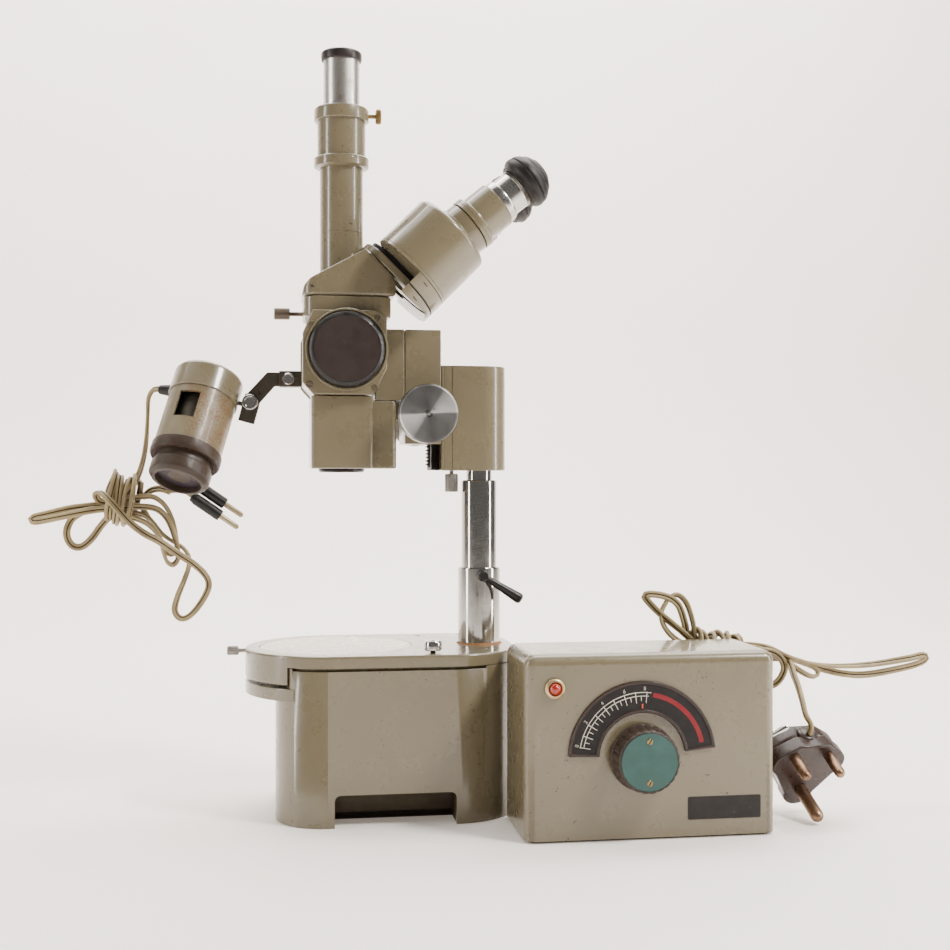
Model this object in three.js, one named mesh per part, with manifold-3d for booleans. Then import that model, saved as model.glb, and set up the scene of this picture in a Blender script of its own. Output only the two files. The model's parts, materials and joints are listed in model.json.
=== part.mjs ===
// Stereo microscope on a transmitted-light base, with its lamp on a jointed arm and its
// lamp transformer standing beside the base. Units are millimetres, +Z is up.
// Origin: on the bench, under the centre of the stage. +X runs from the stage to the pole,
// -Y is the side with the transformer's dial.

import * as THREE from 'three';
import { mergeVertices } from 'three/addons/utils/BufferGeometryUtils.js';
import Module from 'manifold-3d';

const wasm = await Module();
wasm.setup();

// ---------------------------------------------------------------- driving dimensions

const GAP = 0.3;                    // clearance between neighbouring solids

// Sides of a round solid: a disc wider than a hand, a tube, a screw, a small hole.
const WIDE = 28;
const ROUND = 16;
const SMALL = 10;
const HOLE = 6;

const BASE_HALF_WIDTH = 62.7;       // base sides, also the radius of the round stage end
const BASE_BACK = 125;              // back end of the base
const BASE_BACK_RADIUS = 48;
const HOUSING_FRONT = -42;          // lower housing's front face, set back under the stage
const HOUSING_FRONT_RADIUS = 34;
const BASE_WALL = 6;
const BASE_TOP = 113;
const PLATE_BOTTOM = 105.1;
const HOUSING_TOP = PLATE_BOTTOM - GAP;
const SKIRT_X = -34;                // the top plate's front skirt ends here
const SKIRT_BOTTOM = 93;
const LIP_TOP = 91;
const LIP_BOTTOM = 82.5;
const STAGE_RADIUS = 52.9;
const STAGE_THICKNESS = 3.7;
const GRIP_X = [-3.5, 77.5];        // hand openings in both sides of the base
const GRIP_TOP = 21.7;
const GRIP_CORNER = 4;
const GRIP_DEPTH = 25;
const SOLE = 5.2;                   // bottom plate thickness

const POLE_X = 101.8;
const POLE_RADIUS = 12.5;
const NECK_RADIUS = 9;
const SOCKET_RADIUS = 15;
const SOCKET_TOP = 167;
const POLE_BOTTOM = 60;
const POLE_TOP = 229;
const NECK_TOP = 301;

const ARM_X = [72.3, 120];
const ARM_HALF_WIDTH = 20;
const ARM_BOTTOM = 235.7;
const ARM_TOP = 309;
const ARM_SEAM = 80;
const LOCK_SCREW = { x: 82, radius: 4.7, seat: 233.5, length: 12.9 };

const SLIDE_X = [46.7, 71.9];
const SLIDE_HALF_WIDTH = 22;
const SLIDE_BOTTOM = 254;
const SLIDE_TOP = 333.4;
const RAIL_X = 66;
const RAIL_HALF_WIDTH = 13;
const RACK_FACE_X = 64.9;           // root of the rack teeth
const TOOTH_MODULE = 0.8;
const PINION_TEETH = 10;
const PINION = { x: 60, z: 274, width: 8 };
const FOCUS_KNOB_RADIUS = 20;

const AXIS_X = 4;                   // optical axis
const BODY_X = [-24, 33];
const BODY_Z = [287, 344.4];
const BODY_HALF_WIDTH = 33;
const SIDE_PLATE_Y = 38;            // outer face of the octagonal side plates
const ZOOM = { x: 5.7, z: 317.5, radius: 25.4 };
const CHANNEL_Y = 12;               // half the distance between the two light paths
const CHANNEL_RADIUS = 8;
const BODY_COLLAR_TOP = 355;
const COLLAR_SWEEP = 42.6;          // the head's overhang turns clear of the collar's corners
const PLATE_SWEEP = 50.6;           // and of the side plates' corners, which end lower down
const HEAD_CLAMP_Z = 345.2;
const BRACKET_BOTTOM = 284.3;         // block that joins the zoom body to the focus slide
const LENS_BLOCK_BOTTOM = 237;

const HEAD_BOTTOM = 355.3;
const HEAD_HALF_WIDTH = 30;
const TUBE_TILT = Math.PI / 4;      // the viewing tubes' housings rise at 45 degrees
const BINOCULAR = { x: 50, z: 371.4 };  // where the housings' axes meet the carrier
const HOUSING_Y = 30.3;             // half the distance between the two prism housings
const PRISM_RADIUS = 30;
const PRISM_LENGTH = 41.3;
const NEAR_SKIRT = -18.6;           // the guards under the two prism housings end here
const FAR_SKIRT = -7;
const EYE_OFFSET = 4.3;              // eyepiece tube below the housing's own axis
const EYE_TILT = 5.8 * Math.PI / 180;

const LAMP = { x: -87, y: 6, z: 301 };      // centre of the lamp cap's top
const LAMP_LEAN = 15.1 * Math.PI / 180;     // away from the pole
const LAMP_SWIVEL = -25.8 * Math.PI / 180;  // mouth turned towards -Y
const LAMP_PIVOT_DROP = 14;                 // swivel axis below the cap's top
const LINK_PIVOT = { x: -33.2, z: 298.8 };
const PLATE_PIVOT = { x: -59.4, z: 282.9 };

const BOX_X = [113, 278];           // transformer case
const BOX_Y = [-119, -47];
const BOX_TOP = 119;
const BOX_BOTTOM = 1.5;
const BOX_EDGE = 8;
const BOX_WALL = 2;
const DIAL = { x: 188.7, z: 53.3, inner: 28, outer: 48.3 };
const PILOT = { x: 132, z: 97.9 };
const TOGGLE = { y: -97, z: 57.7, length: 17.8, lift: 0.47 };
const CORD_EXIT = { x: 250, z: 60 };

const FLEX_RADIUS = 2.6;            // both cords are twin flex, 5.2 mm across
const WIRE_RADIUS = 1.5;            // one wire of the lamp cord, split off to each pin plug
const LAMP_HANK_Y = 10;             // the lamp cord's hank hangs in this plane
const MAINS_HANK_Y = -38;           // and the mains cord's behind the transformer in this one
const PIN_PLUG = { radius: 4, body: 24, pinRadius: 2, pin: 15 };
const PIN_PLUG_TURN = 0.609;        // below level, towards the pole
const EARTH_TIP = [314.4, -102.5, 4.4]; // the mains plug rests on the end of its longest pin

// ---------------------------------------------------------------- materials

function finish(color, roughness, metalness) {
  return new THREE.MeshStandardMaterial({ color, roughness, metalness });
}

const ENAMEL = [0x80775f, 0.45, 0.1];
const CHROME = [0xd0d0d2, 0.15, 1];
const STEEL = [0x9a9894, 0.35, 1];
const BLACK = [0x1c1b1a, 0.5, 0.1];
const BAKELITE = [0x33211a, 0.35, 0];
const GLASS = [0xbfd0d0, 0.05, 0];
const BROWN = [0x3b2c24, 0.5, 0.2];
const CORD = [0x9a8c66, 0.8, 0];
const BRASS = [0xa08a55, 0.4, 1];

const microscope = new THREE.Group();

function add(name, geometry, look, parent = microscope) {
  const mesh = new THREE.Mesh(geometry, finish(...look));
  mesh.name = name;
  parent.add(mesh);
  return mesh;
}

// ---------------------------------------------------------------- solids

function solid(geometry) {
  const bare = geometry.index ? geometry.toNonIndexed() : geometry.clone();
  bare.deleteAttribute('normal');
  bare.deleteAttribute('uv');
  const merged = mergeVertices(bare, 1e-4);
  return new wasm.Manifold(new wasm.Mesh({
    numProp: 3,
    vertProperties: new Float32Array(merged.attributes.position.array),
    triVerts: new Uint32Array(merged.index.array),
  }));
}

function geometryOf(body) {
  const mesh = body.getMesh();
  const geometry = new THREE.BufferGeometry();
  geometry.setAttribute('position', new THREE.BufferAttribute(mesh.vertProperties, 3));
  geometry.setIndex(new THREE.BufferAttribute(mesh.triVerts, 1));
  return geometry;
}

function join(...geometries) {
  return geometryOf(geometries.map(solid).reduce((all, one) => all.add(one)));
}

function cut(base, ...tools) {
  return geometryOf(tools.map(solid).reduce((all, one) => all.subtract(one), solid(base)));
}

function common(first, second) {
  return geometryOf(solid(first).intersect(solid(second)));
}

// A block between two corners.
function block([x0, x1], [y0, y1], [z0, z1]) {
  const geometry = new THREE.BoxGeometry(x1 - x0, y1 - y0, z1 - z0);
  return geometry.translate((x0 + x1) / 2, (y0 + y1) / 2, (z0 + z1) / 2);
}

// A shape in X and Y, raised from z0 to z1.
function raise(shape, z0, z1, curveSegments = 4) {
  const depth = z1 - z0;
  const geometry = new THREE.ExtrudeGeometry(shape, { depth, curveSegments, bevelEnabled: false });
  return geometry.translate(0, 0, z0);
}

// A shape in X and Z, running from y0 to y1.
function across(shape, y0, y1, curveSegments = 4) {
  return raise(shape, -y1, -y0, curveSegments).rotateX(Math.PI / 2);
}

function polygon(points) {
  return new THREE.Shape(points.map(([x, y]) => new THREE.Vector2(x, y)));
}

// A solid of revolution about +Z from pairs of radius and height, anticlockwise.
function turn(profile, segments = ROUND) {
  return new THREE.LatheGeometry(profile.map(([r, z]) => new THREE.Vector2(r, z)), segments)
    .rotateX(Math.PI / 2);
}

function rod(radius, z0, z1, segments = ROUND) {
  return turn([[0, z0], [radius, z0], [radius, z1], [0, z1]], segments);
}

function tube(inner, outer, z0, z1, segments = ROUND) {
  const wall = [[inner, z0], [outer, z0], [outer, z1], [inner, z1], [inner, z0]];
  return turn(wall, segments);
}

function alongX(geometry, x, y, z) {
  return geometry.rotateY(Math.PI / 2).translate(x, y, z);
}

// Turned pieces lying along Y: local +Z becomes -Y, so heights are measured towards -Y.
function alongNearY(geometry, x, y, z) {
  return geometry.rotateX(Math.PI / 2).translate(x, y, z);
}

function alongFarY(geometry, x, y, z) {
  return geometry.rotateX(-Math.PI / 2).translate(x, y, z);
}

// An outline with round corners, one radius at the front (low X) and one at the back.
function roundedOutline([x0, x1], halfWidth, front, back) {
  const shape = new THREE.Shape();
  shape.absarc(x0 + front, -halfWidth + front, front, Math.PI, 1.5 * Math.PI);
  shape.absarc(x1 - back, -halfWidth + back, back, 1.5 * Math.PI, 2 * Math.PI);
  shape.absarc(x1 - back, halfWidth - back, back, 0, 0.5 * Math.PI);
  shape.absarc(x0 + front, halfWidth - front, front, 0.5 * Math.PI, Math.PI);
  return shape;
}

function roundedBlock(xs, halfWidth, [z0, z1], radius, segments = 2) {
  return raise(roundedOutline(xs, halfWidth, radius, radius), z0, z1, segments);
}

// A knurled hand screw: thin shank, then the gripped head, from 0 towards +Z.
function handScrew(shankRadius, shankLength, headRadius, headLength) {
  const end = shankLength + headLength;
  return turn([
    [0, 0], [shankRadius, 0], [shankRadius, shankLength], [headRadius, shankLength],
    [headRadius, end - 0.6], [headRadius - 0.6, end], [0, end],
  ], SMALL);
}

// ---------------------------------------------------------------- base

function baseOutline(inset = 0) {
  const xs = [HOUSING_FRONT + inset, BASE_BACK - inset];
  const front = HOUSING_FRONT_RADIUS - inset;
  return roundedOutline(xs, BASE_HALF_WIDTH - inset, front, BASE_BACK_RADIUS - inset);
}

function plateOutline(inset = 0) {
  const xs = [-BASE_HALF_WIDTH + inset, BASE_BACK - inset];
  const halfWidth = BASE_HALF_WIDTH - inset;
  return roundedOutline(xs, halfWidth, halfWidth - 0.01, BASE_BACK_RADIUS - inset);
}

function makeBase() {
  const roof = 98;
  const slot = { x: [-31, 98], bottom: 102.9, depth: 3 };
  const stageHole = 44;
  const poleHole = POLE_RADIUS + 0.7;

  const outer = raise(baseOutline(), 0, HOUSING_TOP);
  const lip = common(raise(plateOutline(), LIP_BOTTOM, LIP_TOP), block([-70, -30], [-70, 70], [80, 95]));
  const slotRing = cut(
    block(slot.x, [-70, 70], [slot.bottom, HOUSING_TOP + 1]),
    raise(baseOutline(slot.depth), slot.bottom - 1, HOUSING_TOP + 2),
  );
  const grips = [-1, 1].map((side) => {
    const walls = [side * (BASE_HALF_WIDTH - BASE_WALL - 2), side * (BASE_HALF_WIDTH + 2)];
    const shape = new THREE.Shape();
    shape.moveTo(GRIP_X[0], -1);
    shape.lineTo(GRIP_X[1], -1);
    shape.absarc(GRIP_X[1] - GRIP_CORNER, GRIP_TOP - GRIP_CORNER, GRIP_CORNER, 0, Math.PI / 2);
    shape.absarc(GRIP_X[0] + GRIP_CORNER, GRIP_TOP - GRIP_CORNER, GRIP_CORNER, Math.PI / 2, Math.PI);
    return across(shape, Math.min(...walls), Math.max(...walls), 3);
  });
  const shell = cut(
    join(cut(outer, raise(baseOutline(BASE_WALL), -1, roof)), lip),
    block([-80, SKIRT_X], [-80, 80], [LIP_TOP, HOUSING_TOP + 1]),
    slotRing,
    rod(stageHole, roof - 1, HOUSING_TOP + 1, ROUND),
    rod(poleHole, roof - 1, HOUSING_TOP + 1).translate(POLE_X, 0, 0),
    ...grips,
  );
  add('base_housing', shell, ENAMEL);

  const recesses = [-1, 1].map((side) => {
    const ys = [side * (BASE_HALF_WIDTH - GRIP_DEPTH), side * (BASE_HALF_WIDTH + 2)];
    return block(GRIP_X, [Math.min(...ys), Math.max(...ys)], [-1, SOLE + 1]);
  });
  const sole = cut(raise(baseOutline(BASE_WALL + GAP), 0, SOLE), ...recesses);
  add('base_bottom_plate', sole, ENAMEL);

  const skirt = common(
    raise(plateOutline(), SKIRT_BOTTOM, PLATE_BOTTOM + 1),
    block([-80, SKIRT_X - GAP], [-80, 80], [80, 120]),
  );
  const plate = cut(
    join(raise(plateOutline(), PLATE_BOTTOM, BASE_TOP, 6), skirt),
    rod(STAGE_RADIUS + GAP, BASE_TOP - STAGE_THICKNESS - GAP, BASE_TOP + 1, WIDE),
    rod(stageHole, SKIRT_BOTTOM - 1, BASE_TOP, ROUND),
    rod(poleHole, PLATE_BOTTOM - 1, BASE_TOP + 1).translate(POLE_X, 0, 0),
    ...[-49, 49].map((y) => rod(2.3, PLATE_BOTTOM - 1, BASE_TOP + 1, HOLE).translate(63, y, 0)),
    alongX(rod(1.9, -70, -50, HOLE), 0, 0, 109.7 + 0.9),
  );
  add('base_top_plate', plate, ENAMEL);

  const stage = rod(STAGE_RADIUS, BASE_TOP - STAGE_THICKNESS, BASE_TOP, WIDE);
  add('stage_plate', stage, GLASS);

  const clipScrew = turn([
    [0, 108], [2, 108], [2, 114.5], [6, 114.5], [6, 120], [5, 121], [0, 121],
  ], SMALL).translate(63, -49, 0);
  add('stage_clip_screw', clipScrew, CHROME);

  const lockScrew = handScrew(1.5, 13.5, 3.2, 8).rotateY(-Math.PI / 2)
    .translate(-53.7, 0, 110.6);
  add('stage_lock_screw', lockScrew, STEEL);

  const mirror = polygon([[-30, SOLE + GAP], [30, SOLE + GAP], [30, SOLE + 3], [-30, 65]]);
  add('substage_mirror', across(mirror, -28, 28), GLASS);
}

// ---------------------------------------------------------------- pole

function makePole() {
  const socket = cut(
    tube(POLE_RADIUS + GAP, SOCKET_RADIUS, BASE_TOP + GAP, SOCKET_TOP).translate(POLE_X, 0, 0),
    alongNearY(rod(2.8, 10, 18, SMALL), POLE_X, 0, 162),
  );
  add('pole_socket', socket, CHROME);
  const pole = turn([
    [0, POLE_BOTTOM], [POLE_RADIUS, POLE_BOTTOM], [POLE_RADIUS, POLE_TOP - 1],
    [POLE_RADIUS - 1, POLE_TOP], [NECK_RADIUS, POLE_TOP], [NECK_RADIUS, NECK_TOP], [0, NECK_TOP],
  ]);
  pole.translate(POLE_X, 0, 0);
  add('pole', pole, CHROME);

  const clamp = new THREE.Group();
  clamp.position.set(POLE_X, 0, 162);
  microscope.add(clamp);
  const stud = turn([
    [0, 13], [2.3, 13], [2.3, 15.4], [4, 15.4], [4, 22], [3, 23], [0, 23],
  ], SMALL);
  const handle = turn([[0, 0], [2.2, 0], [3.8, 27], [2.8, 30], [0, 30.5]], HOLE);
  handle.rotateY(Math.PI / 2 + 0.56);
  handle.translate(1.6, -19.3, -1);
  add('pole_clamp_lever', join(alongNearY(stud, 0, 0, 0), handle), BLACK, clamp);
}

// ---------------------------------------------------------------- arm and focus slide

function rackShape() {
  const pitch = Math.PI * TOOTH_MODULE;
  const height = 1.5 * TOOTH_MODULE;
  const points = [[RAIL_X + 1, 238], [RACK_FACE_X, 238]];
  for (let z = PINION.z - 14 * pitch + pitch / 2; z < 305; z += pitch) {
    points.push([RACK_FACE_X, z - 0.30 * pitch]);
    points.push([RACK_FACE_X - height, z - 0.14 * pitch]);
    points.push([RACK_FACE_X - height, z + 0.14 * pitch]);
    points.push([RACK_FACE_X, z + 0.30 * pitch]);
  }
  points.push([RACK_FACE_X, 306], [RAIL_X + 1, 306]);
  return polygon(points);
}

function pinionShape() {
  const pitchRadius = PINION_TEETH * TOOTH_MODULE / 2;
  const step = 2 * Math.PI / PINION_TEETH;
  const root = pitchRadius - TOOTH_MODULE;
  const tip = pitchRadius + 0.6 * TOOTH_MODULE;
  const points = [];
  for (let tooth = 0; tooth < PINION_TEETH; tooth += 1) {
    const angle = tooth * step;
    for (const [offset, radius] of [[-0.27, root], [-0.1, tip], [0.1, tip], [0.27, root]]) {
      const turned = angle + offset * step;
      points.push([radius * Math.cos(turned), radius * Math.sin(turned)]);
    }
  }
  return polygon(points);
}

function makeArm() {
  const outline = roundedOutline(ARM_X, ARM_HALF_WIDTH, 0.5, 18);
  const seams = [-1, 1].map((side) => block(
    [ARM_SEAM - 0.3, ARM_SEAM + 0.3],
    side < 0 ? [-30, 0.6 - ARM_HALF_WIDTH] : [ARM_HALF_WIDTH - 0.6, 30],
    [ARM_BOTTOM - 1, ARM_TOP + 1],
  ));
  const carrier = cut(
    raise(outline, ARM_BOTTOM, ARM_TOP, 6),
    rod(NECK_RADIUS + GAP, ARM_BOTTOM - 1, NECK_TOP + GAP).translate(POLE_X, 0, 0),
    rod(1.9, ARM_BOTTOM - 1, ARM_BOTTOM + 9, HOLE).translate(LOCK_SCREW.x, 0, 0),
    ...seams,
  );
  add('arm_carrier', carrier, ENAMEL);
  add('arm_lock_screw', handScrew(1.5, 9.5, LOCK_SCREW.radius, LOCK_SCREW.length)
    .rotateX(Math.PI).translate(LOCK_SCREW.x, 0, LOCK_SCREW.seat + 9.5), STEEL);

  const railEnd = ARM_X[0] - GAP;
  const dovetail = polygon([
    [RAIL_X, -RAIL_HALF_WIDTH], [railEnd, 4 - RAIL_HALF_WIDTH],
    [railEnd, RAIL_HALF_WIDTH - 4], [RAIL_X, RAIL_HALF_WIDTH],
  ]);
  const rail = raise(dovetail, ARM_BOTTOM + 0.3, ARM_TOP - 0.3);
  add('focus_rack', join(rail, across(rackShape(), -4, 4)), BLACK);

  const groove = polygon([
    [RAIL_X - GAP, -RAIL_HALF_WIDTH - GAP], [74, 2.5 - RAIL_HALF_WIDTH - GAP],
    [74, RAIL_HALF_WIDTH + GAP - 2.5], [RAIL_X - GAP, RAIL_HALF_WIDTH + GAP],
  ]);
  const slide = cut(
    block(SLIDE_X, [-SLIDE_HALF_WIDTH, SLIDE_HALF_WIDTH], [SLIDE_BOTTOM, SLIDE_TOP]),
    raise(groove, SLIDE_BOTTOM - 1, SLIDE_TOP - 6),
    block([53, 67], [-5.5, 5.5], [SLIDE_BOTTOM - 1, SLIDE_TOP - 6]),
    alongNearY(rod(3.3, -30, 30, ROUND), PINION.x, 0, PINION.z),
  );
  add('focus_slide', slide, ENAMEL);

  const shaft = new THREE.Group();
  shaft.position.set(PINION.x, 0, PINION.z);
  microscope.add(shaft);
  const pinion = join(
    across(pinionShape(), -PINION.width / 2, PINION.width / 2),
    alongNearY(rod(2.9, -44, 44, ROUND), 0, 0, 0),
  );
  add('focus_pinion_shaft', pinion, STEEL, shaft);
  const knob = () => turn([
    [3.2, 23], [9, 23], [9, 38], [FOCUS_KNOB_RADIUS - 1.2, 38], [FOCUS_KNOB_RADIUS, 39.2],
    [FOCUS_KNOB_RADIUS, 50.5], [FOCUS_KNOB_RADIUS - 1.5, 52], [0, 52], [0, 44.3], [3.2, 44.3],
    [3.2, 23],
  ], ROUND);
  add('focus_knob_near', alongNearY(knob(), 0, 0, 0), STEEL, shaft);
  add('focus_knob_far', alongFarY(knob(), 0, 0, 0), STEEL, shaft);
}

// ---------------------------------------------------------------- zoom body

function sideOutline() {
  const [x0, x1] = BODY_X;
  const [z0, z1] = BODY_Z;
  return polygon([
    [x0 + 7, z0], [x1 - 9, z0], [x1, z0 + 18], [x1, z1 - 4], [x1 - 8, z1],
    [x0 + 7, z1], [x0, z1 - 16], [x0, z0 + 8],
  ]);
}

function makeZoomBody() {
  const drumRadius = 22;
  const channels = [-CHANNEL_Y, CHANNEL_Y].map((y) => rod(CHANNEL_RADIUS, 280, 360, SMALL)
    .translate(AXIS_X, y, 0));
  const drumSpace = alongNearY(rod(drumRadius + 0.6, -BODY_HALF_WIDTH, BODY_HALF_WIDTH, ROUND),
    ZOOM.x, 0, ZOOM.z);
  const rim = () => tube(ZOOM.radius + 0.8, ZOOM.radius + 2.6, -1, 2, WIDE);
  const body = cut(
    join(
      across(sideOutline(), -SIDE_PLATE_Y, SIDE_PLATE_Y),
      alongNearY(rim(), ZOOM.x, -SIDE_PLATE_Y, ZOOM.z),
      alongFarY(rim(), ZOOM.x, SIDE_PLATE_Y, ZOOM.z),
      roundedBlock([-23, 37], HEAD_HALF_WIDTH, [BODY_Z[1] - 4, BODY_COLLAR_TOP], 10),
      block([30, SLIDE_X[0] - GAP], [-SLIDE_HALF_WIDTH, SLIDE_HALF_WIDTH], [BRACKET_BOTTOM, SLIDE_TOP]),
    ),
    drumSpace,
    alongNearY(rod(5.4, -45, 45, ROUND), ZOOM.x, 0, ZOOM.z),
    ...channels,
    rod(21, 347, 360).translate(AXIS_X, 0, 0),
    alongX(rod(1.9, -30, -20, HOLE), 0, 0, HEAD_CLAMP_Z),
  );
  add('zoom_body', body, ENAMEL);

  const drum = cut(
    alongNearY(turn([
      [0, -44], [5, -44], [5, -32], [drumRadius, -32], [drumRadius, 32], [5, 32], [5, 44], [0, 44],
    ], ROUND), 0, 0, 0),
    ...[-CHANNEL_Y, CHANNEL_Y].map((y) => rod(CHANNEL_RADIUS, -30, 30, SMALL).translate(0, y, 0)),
  );
  drum.translate(ZOOM.x, 0, ZOOM.z);
  add('zoom_drum', drum, BLACK);
  const knob = () => turn([
    [5.3, 38.4], [ZOOM.radius, 38.4], [ZOOM.radius, 43.2], [ZOOM.radius - 2, 45.2],
    [0, 45.2], [0, 44.3], [5.3, 44.3], [5.3, 38.4],
  ], WIDE);
  add('zoom_knob_near', alongNearY(knob(), ZOOM.x, 0, ZOOM.z), BLACK);
  add('zoom_knob_far', alongFarY(knob(), ZOOM.x, 0, ZOOM.z), BLACK);

  const lensBlock = cut(
    join(
      roundedBlock([-18, 24], BODY_HALF_WIDTH, [LENS_BLOCK_BOTTOM, BODY_Z[0] - GAP], 5),
      roundedBlock([10, 41], SLIDE_HALF_WIDTH, [LENS_BLOCK_BOTTOM, BRACKET_BOTTOM - GAP], 5),
    ),
    roundedBlock([-13, 20], 26, [242, 290], 5),
    rod(16.3, 230, 250).translate(AXIS_X, 0, 0),
  );
  add('lens_block', lensBlock, ENAMEL);
  const objective = turn([
    [0, 236.2], [6, 236.5], [12.3, 237.5], [12.3, 234.5], [15, 234.5], [16, 235.5], [16, 241.5],
    [0, 241.5],
  ]);
  add('objective', objective.translate(AXIS_X, 0, 0), BLACK);

  const clampScrew = handScrew(1.6, 10.5, 4, 11).rotateY(-Math.PI / 2)
    .translate(-21.5, 0, HEAD_CLAMP_Z);
  add('head_clamp_screw', clampScrew, STEEL);
}

// ---------------------------------------------------------------- head and photo tube

function makeHead() {
  const head = new THREE.Group();
  microscope.add(head);
  const profile = polygon([
    [-24.5, HEAD_BOTTOM], [39.5, HEAD_BOTTOM], [40.5, 361], [38.5, 369], [19.5, 388], [-13.5, 370],
    [-18.5, 367.3], [-22.8, 362.5],
  ]);
  const hollow = polygon([
    [-17, 361], [32, 361], [14, 379], [-10, 366.5], [-16, 363.5],
  ]);
  const ports = [-CHANNEL_Y, CHANNEL_Y].map((y) => rod(CHANNEL_RADIUS, -60, 10, SMALL)
    .rotateY(TUBE_TILT).translate(BINOCULAR.x, y, BINOCULAR.z));
  const foot = rod(20.4, 348, HEAD_BOTTOM + 1).translate(AXIS_X, 0, 0);
  const housing = cut(
    join(across(profile, -HEAD_HALF_WIDTH, HEAD_HALF_WIDTH), foot),
    across(hollow, 5 - HEAD_HALF_WIDTH, HEAD_HALF_WIDTH - 5),
    rod(17, 340, 364).translate(AXIS_X, 0, 0),
    rod(15.4, 370, 400).translate(AXIS_X, 0, 0),
    ...ports,
  );
  add('head_housing', housing, ENAMEL, head);

  const tubes = new THREE.Group();
  tubes.position.x = AXIS_X;
  microscope.add(tubes);
  const photoTube = cut(
    turn([
      [13, 371], [15.1, 371], [15.1, 447.6], [19.2, 447.6], [19.2, 455], [16.9, 455],
      [16.9, 480.6], [19.2, 480.6], [19.2, 489.5], [13, 489.5], [13, 371],
    ], ROUND),
    alongX(rod(1.9, 10, 25, HOLE), 0, 0, 485.5),
  );
  add('photo_tube', photoTube, ENAMEL, tubes);
  add('photo_draw_tube', tube(11.2, 12.7, 440, 525.3), CHROME, tubes);
  const cap = turn([
    [0, 525.7], [13, 525.6], [13, 523], [13.6, 523], [14.3, 525.3], [14.3, 528.4], [13.2, 529.6],
    [0, 529.6],
  ]);
  add('photo_cap', cap, BLACK, tubes);
  add('photo_clamp_screw', handScrew(1.5, 10.5, 5.2, 3.8).rotateY(Math.PI / 2)
    .translate(13.5, 0, 485.5), BRASS, tubes);
}

// ---------------------------------------------------------------- binocular

function makeBinocular() {
  const binocular = new THREE.Group();
  binocular.position.set(BINOCULAR.x, 0, BINOCULAR.z);
  binocular.rotation.y = TUBE_TILT;
  microscope.add(binocular);

  const collarBase = -9.5;
  const skirt = (side, base) => common(
    rod(PRISM_RADIUS, base, -GAP, ROUND).translate(0, side * HOUSING_Y, 0),
    block([4.8, 40], [-70, 70], [base - 1, 1]),
  );
  const collar = join(
    roundedBlock([-36.5, 27], HEAD_HALF_WIDTH, [collarBase, -4], 22, 3),
    roundedBlock([-33.5, 24], HEAD_HALF_WIDTH - 3, [-5, -GAP], 20, 3),
    skirt(-1, NEAR_SKIRT), skirt(1, FAR_SKIRT),
  );
  const channels = [-CHANNEL_Y, CHANNEL_Y].map((y) => rod(CHANNEL_RADIUS, -20, 5, SMALL)
    .translate(0, y, 0));
  const carrier = cut(collar, ...channels).rotateY(TUBE_TILT).translate(BINOCULAR.x, 0, BINOCULAR.z);
  const spaces = [
    rod(15.6, 370, 400),
    rod(COLLAR_SWEEP, 330, HEAD_BOTTOM),
    rod(PLATE_SWEEP, 330, BODY_Z[1] + GAP),
  ].map((space) => space.translate(AXIS_X, 0, 0));
  add('binocular_carrier', cut(carrier, ...spaces), ENAMEL);

  for (const [side, label] of [[-1, 'near'], [1, 'far']]) {
    const unit = new THREE.Group();
    unit.position.y = side * HOUSING_Y;
    binocular.add(unit);
    const shell = turn([
      [0, 0], [PRISM_RADIUS, 0], [PRISM_RADIUS, PRISM_LENGTH - 4],
      [PRISM_RADIUS - 1.2, PRISM_LENGTH - 1.2], [PRISM_RADIUS - 4, PRISM_LENGTH], [0, PRISM_LENGTH],
    ], ROUND);
    const prismSpace = block([-13, 13], [-13, 13], [8, 34]);
    const inlet = rod(CHANNEL_RADIUS, -1, 10, SMALL).translate(0, -side * 12, 0);
    const outlet = rod(CHANNEL_RADIUS, 30, 45, SMALL).translate(EYE_OFFSET, 0, 0);
    const sleeve = turn([
      [13.9, -2.5], [18.4, -2.5], [18.4, 10.7], [13.9, 10.7], [13.9, -2.5],
    ]).rotateY(EYE_TILT).translate(EYE_OFFSET, 0, PRISM_LENGTH);
    const housing = cut(join(shell, sleeve), prismSpace, inlet, outlet);
    add(`${label}_prism_housing`, housing, ENAMEL, unit);

    const eye = new THREE.Group();
    eye.position.set(EYE_OFFSET, 0, PRISM_LENGTH);
    eye.rotation.y = EYE_TILT;
    unit.add(eye);
    add(`${label}_dioptre_ring`, turn([
      [13.9, 11], [19, 11], [19, 16.5], [16.5, 18], [16.5, 35.6], [13.9, 35.6], [13.9, 11],
    ]), ENAMEL, eye);
    add(`${label}_eyepiece`, turn([
      [0, 20], [13.4, 20], [13.4, 36], [15.3, 36], [15.3, 40.5], [14.5, 41.5], [13.6, 41.5],
      [13.6, 66], [0, 66],
    ]), CHROME, eye);
    add(`${label}_eyecup`, turn([
      [13.9, 54.5], [16.2, 54.5], [16.8, 57], [19, 59.4], [19.3, 62], [18.9, 64.5], [17.1, 68],
      [13.3, 72], [10.3, 74], [7.5, 75.3], [6, 74.5], [6, 66.3], [13.9, 66.3], [13.9, 54.5],
    ]), BLACK, eye);
  }
}

// ---------------------------------------------------------------- lamp and its arm

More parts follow.
